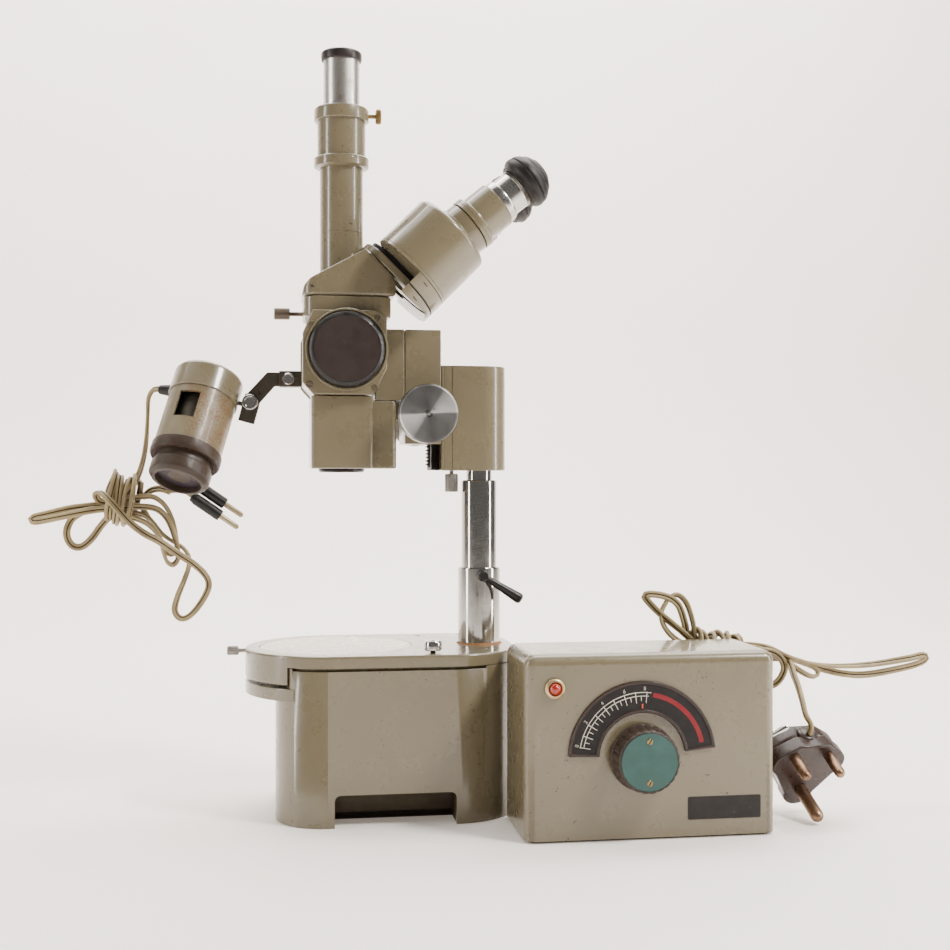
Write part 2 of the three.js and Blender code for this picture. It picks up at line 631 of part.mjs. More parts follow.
function makeLamp() {
  const slot = [-9.8, -5.2];
  const bracket = cut(
    block([-39.5, BODY_X[0] - GAP], [-13.5, -1.5], [293.6, 304.4]),
    block([-41, -27], slot, [290, 310]),
    alongNearY(rod(2.1, 0, 15, HOLE), LINK_PIVOT.x, 0, LINK_PIVOT.z),
  );
  add('lamp_bracket', bracket, BLACK);
  const pin = alongNearY(turn([
    [0, 1.8], [1.7, 1.8], [1.7, 13.8], [4.1, 13.8], [4.1, 16], [3.4, 16.5], [0, 16.5],
  ], SMALL), LINK_PIVOT.x, 0, LINK_PIVOT.z);

  const half = 4.8;
  const link = new THREE.Shape();
  link.absarc(LINK_PIVOT.x, LINK_PIVOT.z, half, -Math.PI / 2, Math.PI / 2);
  link.lineTo(-47.6, LINK_PIVOT.z + half);
  link.absarc(PLATE_PIVOT.x, PLATE_PIVOT.z, half + 0.6, 0.75 * Math.PI, 1.75 * Math.PI);
  link.lineTo(-42.5, LINK_PIVOT.z - half);
  const linkSolid = cut(
    join(across(link, slot[0] + GAP, slot[1] - GAP, 6), pin),
    alongNearY(rod(2.1, 0, 15, HOLE), PLATE_PIVOT.x, 0, PLATE_PIVOT.z),
  );
  add('lamp_link', linkSolid, BLACK);
  const screw = turn([[0, 0.5], [1.7, 0.5], [1.7, 9.9], [5.5, 9.9], [5.5, 13], [4.9, 13.6], [0, 13.6]], ROUND);
  add('lamp_joint_screw', alongNearY(screw, PLATE_PIVOT.x, 0, PLATE_PIVOT.z), CHROME);

  const lean = new THREE.Group();
  lean.position.set(LAMP.x, LAMP.y, LAMP.z);
  lean.rotation.set(LAMP_SWIVEL, LAMP_LEAN, 0, 'YXZ');
  microscope.add(lean);

  const swivel = new THREE.Vector3(0, 0, -LAMP_PIVOT_DROP).applyEuler(lean.rotation).add(lean.position);
  const plateFrame = new THREE.Group();
  plateFrame.position.copy(swivel);
  plateFrame.rotation.y = LAMP_LEAN;
  microscope.add(plateFrame);
  const pivot = new THREE.Vector3(PLATE_PIVOT.x, 0, PLATE_PIVOT.z).sub(swivel)
    .applyAxisAngle(new THREE.Vector3(0, 1, 0), -LAMP_LEAN);
  const plateY = [-4.9 - swivel.y, -0.6 - swivel.y];
  const plate = cut(
    join(
      block([26.6, 38], plateY, [pivot.z - 14, pivot.z + 5.4]),
      alongX(rod(1.6, 22.4, 28, HOLE), 0, 0, 0),
    ),
    alongNearY(rod(2.1, -10, 15, HOLE), pivot.x, 0, pivot.z),
  );
  add('lamp_plate', plate, ENAMEL, plateFrame);

  const windowCut = block([-7, 7], [-30, -14], [-44.5, -24]);
  const housing = turn([
    [21, -20.3], [21, -60], [19.6, -60], [19.6, -68.2], [23, -68.2], [24, -67], [24, -60.3],
    [23, -60.3], [23, -20.3], [21, -20.3],
  ], ROUND);
  add('lamp_housing', cut(housing, windowCut), ENAMEL, lean);
  const cap = turn([
    [0, -2.2], [21.8, -2.2], [21.8, -20], [24, -20], [24, -2.5], [21.5, 0], [0, 0],
  ], ROUND);
  const grommet = turn([[0, 22.5], [4.2, 22.5], [4.2, 27], [3.2, 33], [0, 33]], HOLE)
    .rotateY(-Math.PI / 2).rotateZ(-0.35).translate(0, 0, -14);
  const studHole = alongX(rod(2.2, 20, 27, HOLE), 0, 0, -LAMP_PIVOT_DROP);
  add('lamp_cap', cut(join(cap, grommet), studHole), ENAMEL, lean);
  const holder = turn([
    [0, -2.6], [16, -2.6], [16, -8], [12.6, -8], [12.6, -30], [6.5, -35], [7.5, -39], [6, -43.5],
    [3.5, -45.6], [0, -46.5],
  ].reverse(), ROUND);
  add('lamp_bulb_holder', holder, STEEL, lean);
  const barrel = turn([
    [0, -77], [17, -75.5], [17, -58], [19.2, -58], [19.2, -73], [20.6, -74], [20.6, -81.5],
    [17.6, -84], [15.5, -84], [15.5, -79.5], [0, -80.7],
  ].reverse(), ROUND);
  add('lamp_focus_barrel', barrel, BROWN, lean);
}

// ---------------------------------------------------------------- transformer

function makeTransformer() {
  const centreY = (BOX_Y[0] + BOX_Y[1]) / 2;
  const half = (BOX_Y[1] - BOX_Y[0]) / 2;
  const outline = new THREE.Shape();
  outline.moveTo(BOX_X[0], BOX_BOTTOM);
  outline.lineTo(BOX_X[1], BOX_BOTTOM);
  outline.absarc(BOX_X[1] - BOX_EDGE, BOX_TOP - BOX_EDGE, BOX_EDGE, 0, Math.PI / 2);
  outline.absarc(BOX_X[0] + BOX_EDGE, BOX_TOP - BOX_EDGE, BOX_EDGE, Math.PI / 2, Math.PI);
  const rounded = common(
    across(outline, BOX_Y[0], BOX_Y[1], 4),
    roundedBlock(BOX_X, half, [0, BOX_TOP + 1], BOX_EDGE, 4).translate(0, centreY, 0),
  );
  const hollow = block(
    [BOX_X[0] + BOX_WALL, BOX_X[1] - BOX_WALL], [BOX_Y[0] + BOX_WALL, BOX_Y[1] - BOX_WALL],
    [-1, BOX_TOP - BOX_WALL],
  );
  const shaftHole = alongNearY(rod(4.4, 110, 125, SMALL), DIAL.x, 0, DIAL.z);
  const lampHole = alongNearY(rod(4.4, 110, 125, SMALL), PILOT.x, 0, PILOT.z);
  const switchHole = alongX(rod(3.4, 270, 285, SMALL), 0, TOGGLE.y, TOGGLE.z);
  const cordHole = alongFarY(rod(5.2, -5, 5, SMALL), CORD_EXIT.x, BOX_Y[1], CORD_EXIT.z);
  const bush = alongX(tube(3.4, 6, -4, 3, SMALL), BOX_X[1], TOGGLE.y, TOGGLE.z);
  const insideXs = [BOX_X[0] + BOX_WALL, BOX_X[1] - BOX_WALL];
  const inside = roundedBlock(insideXs, half - BOX_WALL, [-1, BOX_TOP], BOX_EDGE - BOX_WALL)
    .translate(0, centreY, 0);
  const shell = cut(rounded, common(hollow, inside), shaftHole, lampHole, switchHole, cordHole);
  add('transformer_case', join(shell, bush), ENAMEL);
  const foot = roundedBlock([BOX_X[0] + 3, BOX_X[1] - 3], half - 3, [0, 3.6], 5, 4);
  const chassis = join(
    foot.translate(0, centreY, 0),
    block([205, 262], [-100, -66], [3, 74]),
    block([213, 254], [-110, -56], [19, 59]),
  );
  add('transformer_chassis', chassis, BLACK);
  const bezel = new THREE.Shape();
  const [start, end] = [0.03 * Math.PI, 0.985 * Math.PI];
  bezel.absarc(0, 0, DIAL.outer, start, end);
  bezel.absarc(0, 0, DIAL.inner, end, start, true);
  const plate = across(bezel, BOX_Y[0] - 1.8, BOX_Y[0] - GAP, SMALL).translate(DIAL.x, 0, DIAL.z);
  add('dial_scale', plate, BLACK);

  const knob = new THREE.Group();
  knob.position.set(DIAL.x, 0, DIAL.z);
  microscope.add(knob);
  add('dial_knob', alongNearY(turn([
    [0, 116.8], [3.6, 116.8], [3.6, 121.2], [21.5, 121.2], [21.5, 123], [20, 125], [19.4, 136],
    [18.6, 137.2], [0, 138.2],
  ], ROUND), 0, 0, 0), BAKELITE, knob);

  add('pilot_lamp', alongNearY(turn([
    [0, 112], [3.9, 112], [3.9, 119.3], [6.6, 119.3], [6.6, 120.6], [5.2, 121.8], [4, 121.8],
    [2.5, 123.4], [0, 124],
  ], SMALL), PILOT.x, 0, PILOT.z), BRASS);
  const lever = turn([
    [0, 0.5], [1.6, 0.5], [2.4, TOGGLE.length - 2], [1.6, TOGGLE.length - 0.5], [0, TOGGLE.length],
  ], HOLE).rotateY(Math.PI / 2 - TOGGLE.lift);
  add('switch_lever', lever.translate(BOX_X[1] + 1, TOGGLE.y, TOGGLE.z), CHROME);
  add('cord_gland', alongFarY(turn([
    [3.6, -8], [5, -8], [5, GAP], [7, GAP], [7, 3], [5, 4.5], [4.4, 12], [3.6, 12], [3.6, -8],
  ], SMALL), CORD_EXIT.x, BOX_Y[1], CORD_EXIT.z), BLACK);
}

// ---------------------------------------------------------------- cords and plugs

// A round cord along a smooth curve through the points.
function sweep(points, radius, sides, stepLength) {
  const curve = new THREE.CatmullRomCurve3(points.map((point) => new THREE.Vector3(...point)));
  const section = new THREE.Shape();
  section.absarc(0, 0, radius, 0, 2 * Math.PI);
  const steps = Math.ceil(curve.getLength() / stepLength);
  return new THREE.ExtrudeGeometry(section, { steps, curveSegments: sides, extrudePath: curve });
}

// One lobe of a hank, lying in a plane of constant Y: the hull of two round ends.
function lobe([x0, z0, r0], [x1, z1, r1], y, halfThickness) {
  const along = Math.atan2(z1 - z0, x1 - x0);
  const lean = Math.acos((r0 - r1) / Math.hypot(x1 - x0, z1 - z0));
  const shape = new THREE.Shape();
  shape.absarc(x0, z0, r0, along + lean, along + 2 * Math.PI - lean);
  shape.absarc(x1, z1, r1, along - lean, along + lean);
  return across(shape, y - halfThickness, y + halfThickness, 3);
}

// The twin flex of the lamp: out of the cap's grommet, behind its own tied hank, then split
// into two wires, one to each pin plug.
function makeLampCord() {
  const flex = sweep([
    [-122.6, 10.5, 292.4], [-126.2, 11.7, 292], [-129.4, 12.8, 286], [-130, 14, 274], [-131, 16, 259],
    [-133, 21.5, 246], [-139, 26, 234], [-143, 27, 222], [-139, 27, 212], [-130, 25, 211],
    [-121, 20.5, 216], [-112, 13, 221],
  ], FLEX_RADIUS, 4, 14);
  const wires = [
    [[-114, 14.6, 220], [-108, 10, 223.5], [-102, 6.8, 227], [-97.7, 6, 226.9]],
    [[-114, 14.6, 220], [-109, 9, 221.5], [-104.5, 3.8, 220.7], [-100.8, 3, 218.7]],
  ].map((points) => sweep(points, WIRE_RADIUS, 3, 6));
  add('lamp_cord', join(flex, ...wires), CORD);

  const thin = 6;
  const hank = join(
    lobe([-146, 226, 10], [-145, 206, 11], LAMP_HANK_Y, 11),
    lobe([-150, 218, 5], [-160, 216.5, 5], LAMP_HANK_Y, thin),
    lobe([-152, 210, 4], [-204, 203, 3.6], LAMP_HANK_Y, thin),
    lobe([-154, 206, 4], [-175.5, 193, 10.5], LAMP_HANK_Y, thin),
    lobe([-132, 212, 6], [-119, 204, 8], LAMP_HANK_Y, thin),
    lobe([-119, 204, 8], [-112, 186, 7], LAMP_HANK_Y, thin),
    lobe([-142, 206, 11], [-120, 189, 8], LAMP_HANK_Y, thin),
    lobe([-119, 187, 8], [-108, 177, 7], LAMP_HANK_Y, thin),
    lobe([-107, 177, 6], [-99.5, 145, 12.5], LAMP_HANK_Y, thin),
  );
  add('lamp_cord_hank', hank, CORD);

  for (const [name, place] of [
    ['pin_plug_upper', [-96.4, 6, 226]], ['pin_plug_lower', [-99.5, 3, 217.8]],
  ]) {
    const { radius, body, pinRadius, pin } = PIN_PLUG;
    const plug = turn([
      [0, 0], [radius - 0.8, 0], [radius, 2], [radius, body], [pinRadius, body],
      [pinRadius, body + pin - 1], [0, body + pin],
    ], HOLE + 2);
    plug.rotateY(Math.PI / 2 + PIN_PLUG_TURN);
    add(name, plug.translate(...place), BLACK);
  }
}

// The mains flex: out of the transformer's back, behind its tied hank, down into the plug.
function makeMainsCord() {
  const route = [
    [CORD_EXIT.x, BOX_Y[1] + 12.4, CORD_EXIT.z], [250, -24, 60.5], [252, -16, 68],
    [260, -15, 84], [276, -19, 95], [293, -23, 100], [306, -25, 102], [313, -31, 102],
    [316, -40, 101], [316, -48, 98.5], [314.5, -57, 94], [313, -69, 87.5],
    [311.5, -80, 79.5], [310.5, -88.5, 71.5], [312.9, -91.9, 65], [312.5, -89.8, 59.1],
  ];
  const flex = sweep(route, FLEX_RADIUS, 4, 14);
  add('mains_cord', flex, CORD);

  const half = 8;
  const hank = join(
    lobe([246, 110, 9], [173, 86, 10], MAINS_HANK_Y, half),
    lobe([250, 114, 9], [286, 108, 9], MAINS_HANK_Y, half),
    lobe([286, 109, 8], [312, 101, 7], MAINS_HANK_Y, half),
    lobe([247, 119, 6], [224.5, 140, 10], MAINS_HANK_Y, half),
    lobe([226, 139, 9], [216.5, 147, 4.5], MAINS_HANK_Y, half),
    lobe([308, 101, 6], [309.5, 92, 6.5], MAINS_HANK_Y, half),
    lobe([312, 101, 7], [333, 95, 7], MAINS_HANK_Y, half),
    lobe([333, 96, 6], [380, 94, 7], MAINS_HANK_Y, half),
    lobe([380, 94, 7], [418, 100, 5.5], MAINS_HANK_Y, half),
  );
  add('mains_cord_hank', cut(hank, sweep(route, FLEX_RADIUS + 2 * GAP, 4, 14)), CORD);

  // In the plug's own frame the pins point along -Z and the earth pin is on the -Y side.
  const pins = new THREE.Vector3(0.125, -0.839, -0.53).normalize();
  const up = new THREE.Vector3(0, 0, 1).addScaledVector(pins, -pins.z).normalize();
  const back = pins.clone().negate();
  const frame = new THREE.Matrix4().makeBasis(up.clone().cross(back), up, back);
  const outline = new THREE.Shape();
  outline.moveTo(-11, 22);
  outline.lineTo(11, 22);
  outline.absarc(17, 6, 10, 1, -1, true);
  outline.absarc(0, -20, 11, 0, -Math.PI, true);
  outline.absarc(-17, 6, 10, Math.PI + 1, Math.PI - 1, true);
  const linePin = { radius: 3.5, length: 18.6, x: 12.7, y: 12.6 };
  const earthPin = { radius: 4.35, length: 28.6, y: -16 };
  const plug = join(
    raise(outline, 0, 24, 3),
    rod(linePin.radius, -linePin.length, 1, SMALL).translate(-linePin.x, linePin.y, 0),
    rod(linePin.radius, -linePin.length, 1, SMALL).translate(linePin.x, linePin.y, 0),
    rod(earthPin.radius, -earthPin.length, 1, SMALL).translate(0, earthPin.y, 0),
  );
  const tip = new THREE.Vector3(0, earthPin.y, -earthPin.length).applyMatrix4(frame);
  plug.applyMatrix4(frame);
  plug.translate(...new THREE.Vector3(...EARTH_TIP).sub(tip).toArray());
  add('mains_plug', plug, BAKELITE);
}

makeBase();
makePole();
makeArm();
makeZoomBody();
makeHead();
makeBinocular();
makeLamp();
makeTransformer();
makeLampCord();
makeMainsCord();

export default microscope;
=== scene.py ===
"""Looks for a stereo zoom microscope with its jointed lamp and the lamp's transformer.
Sizes in the code are millimetres, turned into metres where a mesh or object is made."""

import json
import math

import bpy
from mathutils import Matrix, Vector


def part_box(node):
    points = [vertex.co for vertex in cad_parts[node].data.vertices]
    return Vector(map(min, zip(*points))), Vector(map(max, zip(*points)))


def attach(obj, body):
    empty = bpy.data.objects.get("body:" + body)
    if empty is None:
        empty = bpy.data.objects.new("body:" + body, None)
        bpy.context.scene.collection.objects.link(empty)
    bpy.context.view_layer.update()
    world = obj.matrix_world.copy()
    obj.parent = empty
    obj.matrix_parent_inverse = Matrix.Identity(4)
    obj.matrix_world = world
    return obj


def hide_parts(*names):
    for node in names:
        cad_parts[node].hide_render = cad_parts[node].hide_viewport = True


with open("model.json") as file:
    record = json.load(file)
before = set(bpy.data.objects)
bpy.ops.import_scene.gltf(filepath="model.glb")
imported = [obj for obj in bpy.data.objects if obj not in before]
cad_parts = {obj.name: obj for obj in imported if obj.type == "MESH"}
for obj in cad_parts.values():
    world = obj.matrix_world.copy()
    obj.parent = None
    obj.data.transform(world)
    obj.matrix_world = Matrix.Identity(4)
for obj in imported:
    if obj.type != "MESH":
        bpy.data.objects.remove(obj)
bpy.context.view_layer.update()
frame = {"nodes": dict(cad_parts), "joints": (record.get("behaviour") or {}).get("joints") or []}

MM = 0.001
TAU = 2 * math.pi


# ---------------------------------------------------------------- places taken from the frame

def middle(node):
    lowest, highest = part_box(node)
    return (lowest + highest) / 2 / MM


def axis_frame(origin, axis, side=(0, 1, 0)):
    """A frame whose Z runs along the axis and whose Y stays as near as it can to side."""
    z = Vector(axis).normalized()
    x = Vector(side).cross(z).normalized()
    y = z.cross(x)
    turned = Matrix((x, y, z)).transposed().to_4x4()
    return Matrix.Translation(Vector(origin)) @ turned


def near_y(x, y, z):
    """A frame whose Z points towards the viewer's side, -Y, and whose Y points up."""
    return axis_frame((x, y, z), (0, -1, 0), (0, 0, 1))


def far_y(x, y, z):
    return axis_frame((x, y, z), (0, 1, 0), (0, 0, 1))


def along_x(x, y, z, way=1):
    return axis_frame((x, y, z), (way, 0, 0), (0, 0, 1))


def upright(x, y, z=0):
    return Matrix.Translation((x, y, z))


def leaning(place, tilt):
    """A frame whose Z lies along +X, turned down by tilt radians."""
    return Matrix.Translation(place) @ Matrix.Rotation(math.pi / 2 + tilt, 4, "Y")


# ---------------------------------------------------------------- camera

CAMERA_PLACE = (-43.6, -954.0, 232.6)
CAMERA_YAW = -8.5
camera_data = bpy.data.cameras.new("camera")
camera_data.sensor_width = 36
camera_data.lens = 51.2
camera_data.clip_end = 20
camera = bpy.data.objects.new("camera", camera_data)
camera.location = Vector(CAMERA_PLACE) * MM
camera.rotation_euler = (math.radians(90), 0, math.radians(CAMERA_YAW))
bpy.context.scene.collection.objects.link(camera)
bpy.context.scene.camera = camera


# ---------------------------------------------------------------- mesh tools

def mesh_object(name, points, faces):
    data = bpy.data.meshes.new(name)
    data.from_pydata([Vector(point) * MM for point in points], [], faces)
    data.update()
    piece = bpy.data.objects.new(name, data)
    bpy.context.scene.collection.objects.link(piece)
    return piece


def moved(piece, place):
    """Puts a new piece where the frame says, in millimetres, by moving its mesh."""
    shift = place.copy()
    shift.translation = shift.translation * MM
    piece.data.transform(shift)
    if place.determinant() < 0:
        piece.data.flip_normals()
    return piece


def lathe(name, profile, sides=96, place=None):
    """A turned piece about Z. The profile is pairs of radius and height, and closes on itself."""
    points, faces, rings = [], [], []
    for radius, height in profile:
        if radius < 1e-6:
            rings.append([len(points)])
            points.append((0, 0, height))
            continue
        rings.append(list(range(len(points), len(points) + sides)))
        for side in range(sides):
            angle = TAU * side / sides
            points.append((radius * math.cos(angle), radius * math.sin(angle), height))
    for first, second in zip(rings, rings[1:] + rings[:1]):
        for side in range(sides):
            after = (side + 1) % sides
            if len(first) == 1 and len(second) == 1:
                continue
            if len(first) == 1:
                faces.append((first[0], second[after], second[side]))
            elif len(second) == 1:
                faces.append((first[side], first[after], second[0]))
            else:
                faces.append((first[side], first[after], second[after], second[side]))
    piece = mesh_object(name, points, faces)
    return moved(piece, place) if place else piece


def round_bar(name, radius, bottom, top, sides=96, place=None):
    return lathe(name, [(0, bottom), (radius, bottom), (radius, top), (0, top)], sides, place)


def prism(name, outline, bottom, top, place=None):
    """An outline of X and Y points, anticlockwise, raised from bottom to top."""
    count = len(outline)
    points = [(x, y, bottom) for x, y in outline] + [(x, y, top) for x, y in outline]
    faces = [tuple(reversed(range(count))), tuple(range(count, 2 * count))]
    for i in range(count):
        after = (i + 1) % count
        faces.append((i, after, count + after, count + i))
    piece = mesh_object(name, points, faces)
    return moved(piece, place) if place else piece


def block(name, lowest, highest, place=None):
    (x0, y0, z0), (x1, y1, z1) = lowest, highest
    return prism(name, [(x0, y0), (x1, y0), (x1, y1), (x0, y1)], z0, z1, place)


def arc(x, y, radius, start, end, steps=12):
    """Points of an arc, with its angles in degrees."""
    turns = [math.radians(start + (end - start) * i / steps) for i in range(steps + 1)]
    return [(x + radius * math.cos(turn), y + radius * math.sin(turn)) for turn in turns]


def rounded_outline(x0, x1, y0, y1, radius, steps=6):
    return (arc(x0 + radius, y0 + radius, radius, 180, 270, steps) + arc(x1 - radius, y0
            + radius, radius, 270, 360, steps) + arc(x1 - radius, y1 - radius, radius, 0, 90, steps)
            + arc(x0 + radius, y1 - radius, radius, 90, 180, steps))


def upside(outline):
    """An outline for a piece that lies across Y: raised along +Y, its X and Y are X and -Z."""
    return [(x, -z) for x, z in reversed(outline)]


def across(name, outline, y0, y1):
    """An outline of X and Z points, anticlockwise seen from -Y, running from y0 to y1."""
    frame_y = Matrix(((1, 0, 0, 0), (0, 0, 1, 0), (0, -1, 0, 0), (0, 0, 0, 1)))
    return prism(name, upside(outline), y0, y1, frame_y)


def change(piece, kind, **values):
    modifier = piece.modifiers.new(kind, kind)
    for key, value in values.items():
        setattr(modifier, key, value)
    return modifier


def settle(piece):
    """Applies the modifiers so far."""
    graph = bpy.context.evaluated_depsgraph_get()
    made = bpy.data.meshes.new_from_object(piece.evaluated_get(graph))
    old = piece.data
    piece.modifiers.clear()
    piece.data = made
    bpy.data.meshes.remove(old)
    return piece


def carve(piece, *cutters, operation="DIFFERENCE"):
    for cutter in cutters:
        change(piece, "BOOLEAN", object=cutter, operation=operation, solver="EXACT")
        settle(piece)
        data = cutter.data
        bpy.data.objects.remove(cutter)
        bpy.data.meshes.remove(data)
    return piece


def fuse(piece, *others):
    return carve(piece, *others, operation="UNION")


def soften(piece, width, steps=3, angle=35):
    """Rounds the edges and shades the piece smoothly, with its flat faces flat."""
    if width:
        change(piece, "BEVEL", width=width * MM, segments=steps, limit_method="ANGLE",
                angle_limit=math.radians(angle), use_clamp_overlap=False)
        settle(piece)
    piece.data.shade_smooth()
    piece.data.set_sharp_from_angle(angle=math.radians(42))
    change(piece, "WEIGHTED_NORMAL", keep_sharp=True)
    return settle(piece)


def merge(name, *pieces):
    """One object from several, each keeping its own material."""
    points, faces, looks, slots = [], [], [], []
    for piece in pieces:
        start = len(points)
        points.extend(vertex.co / MM for vertex in piece.data.vertices)
        for face in piece.data.polygons:
            faces.append([start + i for i in face.vertices])
            look = piece.data.materials[face.material_index] if piece.data.materials else None
            if look not in looks:
                looks.append(look)
            slots.append(looks.index(look))
    whole = mesh_object(name, points, faces)
    for look in looks:
        whole.data.materials.append(look)
    whole.data.polygons.foreach_set("material_index", slots)
    for piece in pieces:
        data = piece.data
        bpy.data.objects.remove(piece)
        bpy.data.meshes.remove(data)
    return soften(whole, 0)


def painted(piece, look):
    piece.data.materials.append(look)
    return piece


def show(piece, body, look, slot, *nodes):
    """Gives a piece its material, its body and the CAD nodes that it stands for. Its slot argument is not
    used.
    """
    if look:
        piece.data.materials.clear()
        piece.data.materials.append(look)
    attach(piece, body)
    if nodes:
        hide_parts(*nodes)
    return piece


# ---------------------------------------------------------------- materials

def srgb(red, green, blue):
    """A colour given as the eye sees it, 0 to 255, made linear."""
    return tuple(((channel / 255 + 0.055) / 1.055) ** 2.4 for channel in (red, green, blue)) + (1,)


def shaded(colour, factor, lift=0.0):
    return tuple(min(1, channel * factor + lift) for channel in colour[:3]) + (1,)


class Look:
    """A material under construction: its shader, and helpers that add nodes to it."""

    def __init__(self, name, colour, roughness, metallic=0.0, **sockets):
        self.material = bpy.data.materials.new(name)
        self.material.use_nodes = True
        self.tree = self.material.node_tree
        self.shader = self.tree.nodes["Principled BSDF"]
        self.shader.inputs["Base Color"].default_value = colour
        self.shader.inputs["Roughness"].default_value = roughness
        self.shader.inputs["Metallic"].default_value = metallic
        for key, value in sockets.items():
            self.shader.inputs[key.replace("_", " ")].default_value = value
        self.place = self.tree.nodes.new("ShaderNodeTexCoord").outputs["Object"]
        self.height = None

    def node(self, kind, **values):
        made = self.tree.nodes.new(kind)
        for key, value in values.items():
            setattr(made, key, value)
        return made

    def feed(self, value, socket):
        """Gives a socket its number or colour, or links it to another node's output."""
        if isinstance(value, (int, float, tuple)):
            socket.default_value = value
        else:
            self.tree.links.new(value, socket)

    def stretched(self, factors):
        """The surface's own place, stretched, for brushed and streaked finishes."""
        mapping = self.node("ShaderNodeMapping")
        mapping.inputs["Scale"].default_value = factors
        self.feed(self.place, mapping.inputs["Vector"])
        return mapping.outputs["Vector"]

    def noise(self, size, detail=3.0, roughness=0.5, place=None):
        """Noise whose features are about size millimetres across."""
        made = self.node("ShaderNodeTexNoise")
        made.inputs["Scale"].default_value = 1 / (size * MM)
        made.inputs["Detail"].default_value = detail
        made.inputs["Roughness"].default_value = roughness
        self.feed(place or self.place, made.inputs["Vector"])
        return made.outputs["Fac"]

    def ramp(self, value, *stops):
        """A value turned into colours or greys at stated positions."""
        made = self.node("ShaderNodeValToRGB")
        elements = made.color_ramp.elements
        while len(elements) < len(stops):
            elements.new(0.5)
        for element, (position, colour) in zip(elements, stops):
            element.position = position
            element.color = colour if hasattr(colour, "__len__") else (colour, colour, colour, 1)
        self.feed(value, made.inputs["Fac"])
        return made.outputs["Color"]

    def mix(self, amount, first, second, blend="MIX"):
        made = self.node("ShaderNodeMix", data_type="RGBA", blend_type=blend)
        for value, number in ((amount, 0), (first, 6), (second, 7)):
            self.feed(value, made.inputs[number])
        return made.outputs[2]

    def maths(self, operation, first, second=0.0):
        made = self.node("ShaderNodeMath", operation=operation)
        for value, number in ((first, 0), (second, 1)):
            self.feed(value, made.inputs[number])
        return made.outputs[0]

    def colour(self, value):
        self.feed(value, self.shader.inputs["Base Color"])

    def rough(self, value, lowest, highest):
        self.feed(self.ramp(value, (0.3, lowest), (0.7, highest)), self.shader.inputs["Roughness"])

    def bump(self, value, strength, depth):
        """Adds a bump depth millimetres high, on top of those already there."""
        made = self.node("ShaderNodeBump")
        made.inputs["Strength"].default_value = strength
        made.inputs["Distance"].default_value = depth * MM
        self.feed(value, made.inputs["Height"])
        if self.height:
            self.feed(self.height, made.inputs["Normal"])
        self.height = made.outputs["Normal"]
        self.feed(self.height, self.shader.inputs["Normal"])


def enamel(name, base, chips=0.0, dirt=0.16):
    """Stove enamel: faint cloudiness, dust, orange peel, rubbed specks and a few chips."""
    look = Look(name, base, 0.3, Coat_Weight=0.55, Coat_Roughness=0.1)
    darker = shaded(base, 0.96)
    lighter = shaded(base, 1.03)
    clouds = look.mix(look.ramp(look.noise(60, 2), (0.3, 0.0), (0.7, 1.0)), darker, lighter)
    speckle = look.ramp(look.noise(0.9, 2), (0.64, 0.0), (0.72, dirt))
    dusty = look.mix(speckle, clouds, srgb(84, 76, 56))
    rubbed = look.ramp(look.noise(5, 5, 0.6), (0.72, 0.0), (0.8, 0.12))
    worn = look.mix(rubbed, dusty, srgb(140, 130, 104))
    if chips:
        broken = look.noise(2.4, 4, 0.6)
        patch = look.ramp(look.noise(26, 2), (0.60 - chips, 0.0), (0.64 - chips, 1.0))
        chip = look.maths("MULTIPLY", look.ramp(broken, (0.655, 0.0), (0.67, 1.0)), patch)
        worn = look.mix(chip, worn, srgb(46, 38, 30))
    look.colour(worn)
    look.rough(look.noise(14, 5), 0.24, 0.36)
    look.bump(look.noise(0.7, 2), 0.06, 0.03)
    look.bump(look.noise(6, 2), 0.08, 0.05)
    return look.material


def metal(name, colour, roughness, streak=(1, 1, 12), strength=0.12, tarnish=None):
    """Bare or plated metal with a fine grain, finger marks and a little tarnish."""
    look = Look(name, colour, roughness, 1.0)
    grain = look.noise(1.6, 3, 0.6, look.stretched(streak))
    marks = look.noise(9, 5, 0.6)
    if tarnish:
        look.colour(look.mix(look.ramp(marks, (0.5, 0.0), (0.68, 0.8)), colour, tarnish))
    else:
        dull = shaded(colour, 0.82)
        look.colour(look.mix(look.ramp(marks, (0.4, 0.0), (0.7, 0.6)), colour, dull))
    look.rough(look.mix(0.5, grain, marks), max(0.03, roughness - 0.06), roughness + 0.12)
    look.bump(grain, strength, 0.02)
    return look.material


def satin(name, colour, roughness=0.42, wear=None, grain=0.6, coat=0.0):
    """Satin paint, bakelite or rubber: slight mottling, dust in the grain and a few scuffs."""
    look = Look(name, colour, roughness, Coat_Weight=coat, Coat_Roughness=0.15, Specular_IOR_Level=0.3)
    lighter = shaded(colour, 1.3, 0.002)
    mottled = look.mix(look.ramp(look.noise(11, 5), (0.42, 0.0), (0.72, 0.7)), colour, lighter)
    dust = look.ramp(look.noise(0.6, 2), (0.68, 0.0), (0.76, 0.2))
    dusty = look.mix(dust, mottled, srgb(120, 112, 100))
    if wear:
        dusty = look.mix(look.ramp(look.noise(2.5, 5, 0.6), (0.68, 0.0), (0.74, 0.5)), dusty, wear)
    look.colour(dusty)
    look.rough(look.noise(6, 4), roughness - 0.1, roughness + 0.12)
    look.bump(look.noise(grain, 3), 0.16, 0.04)
    return look.material


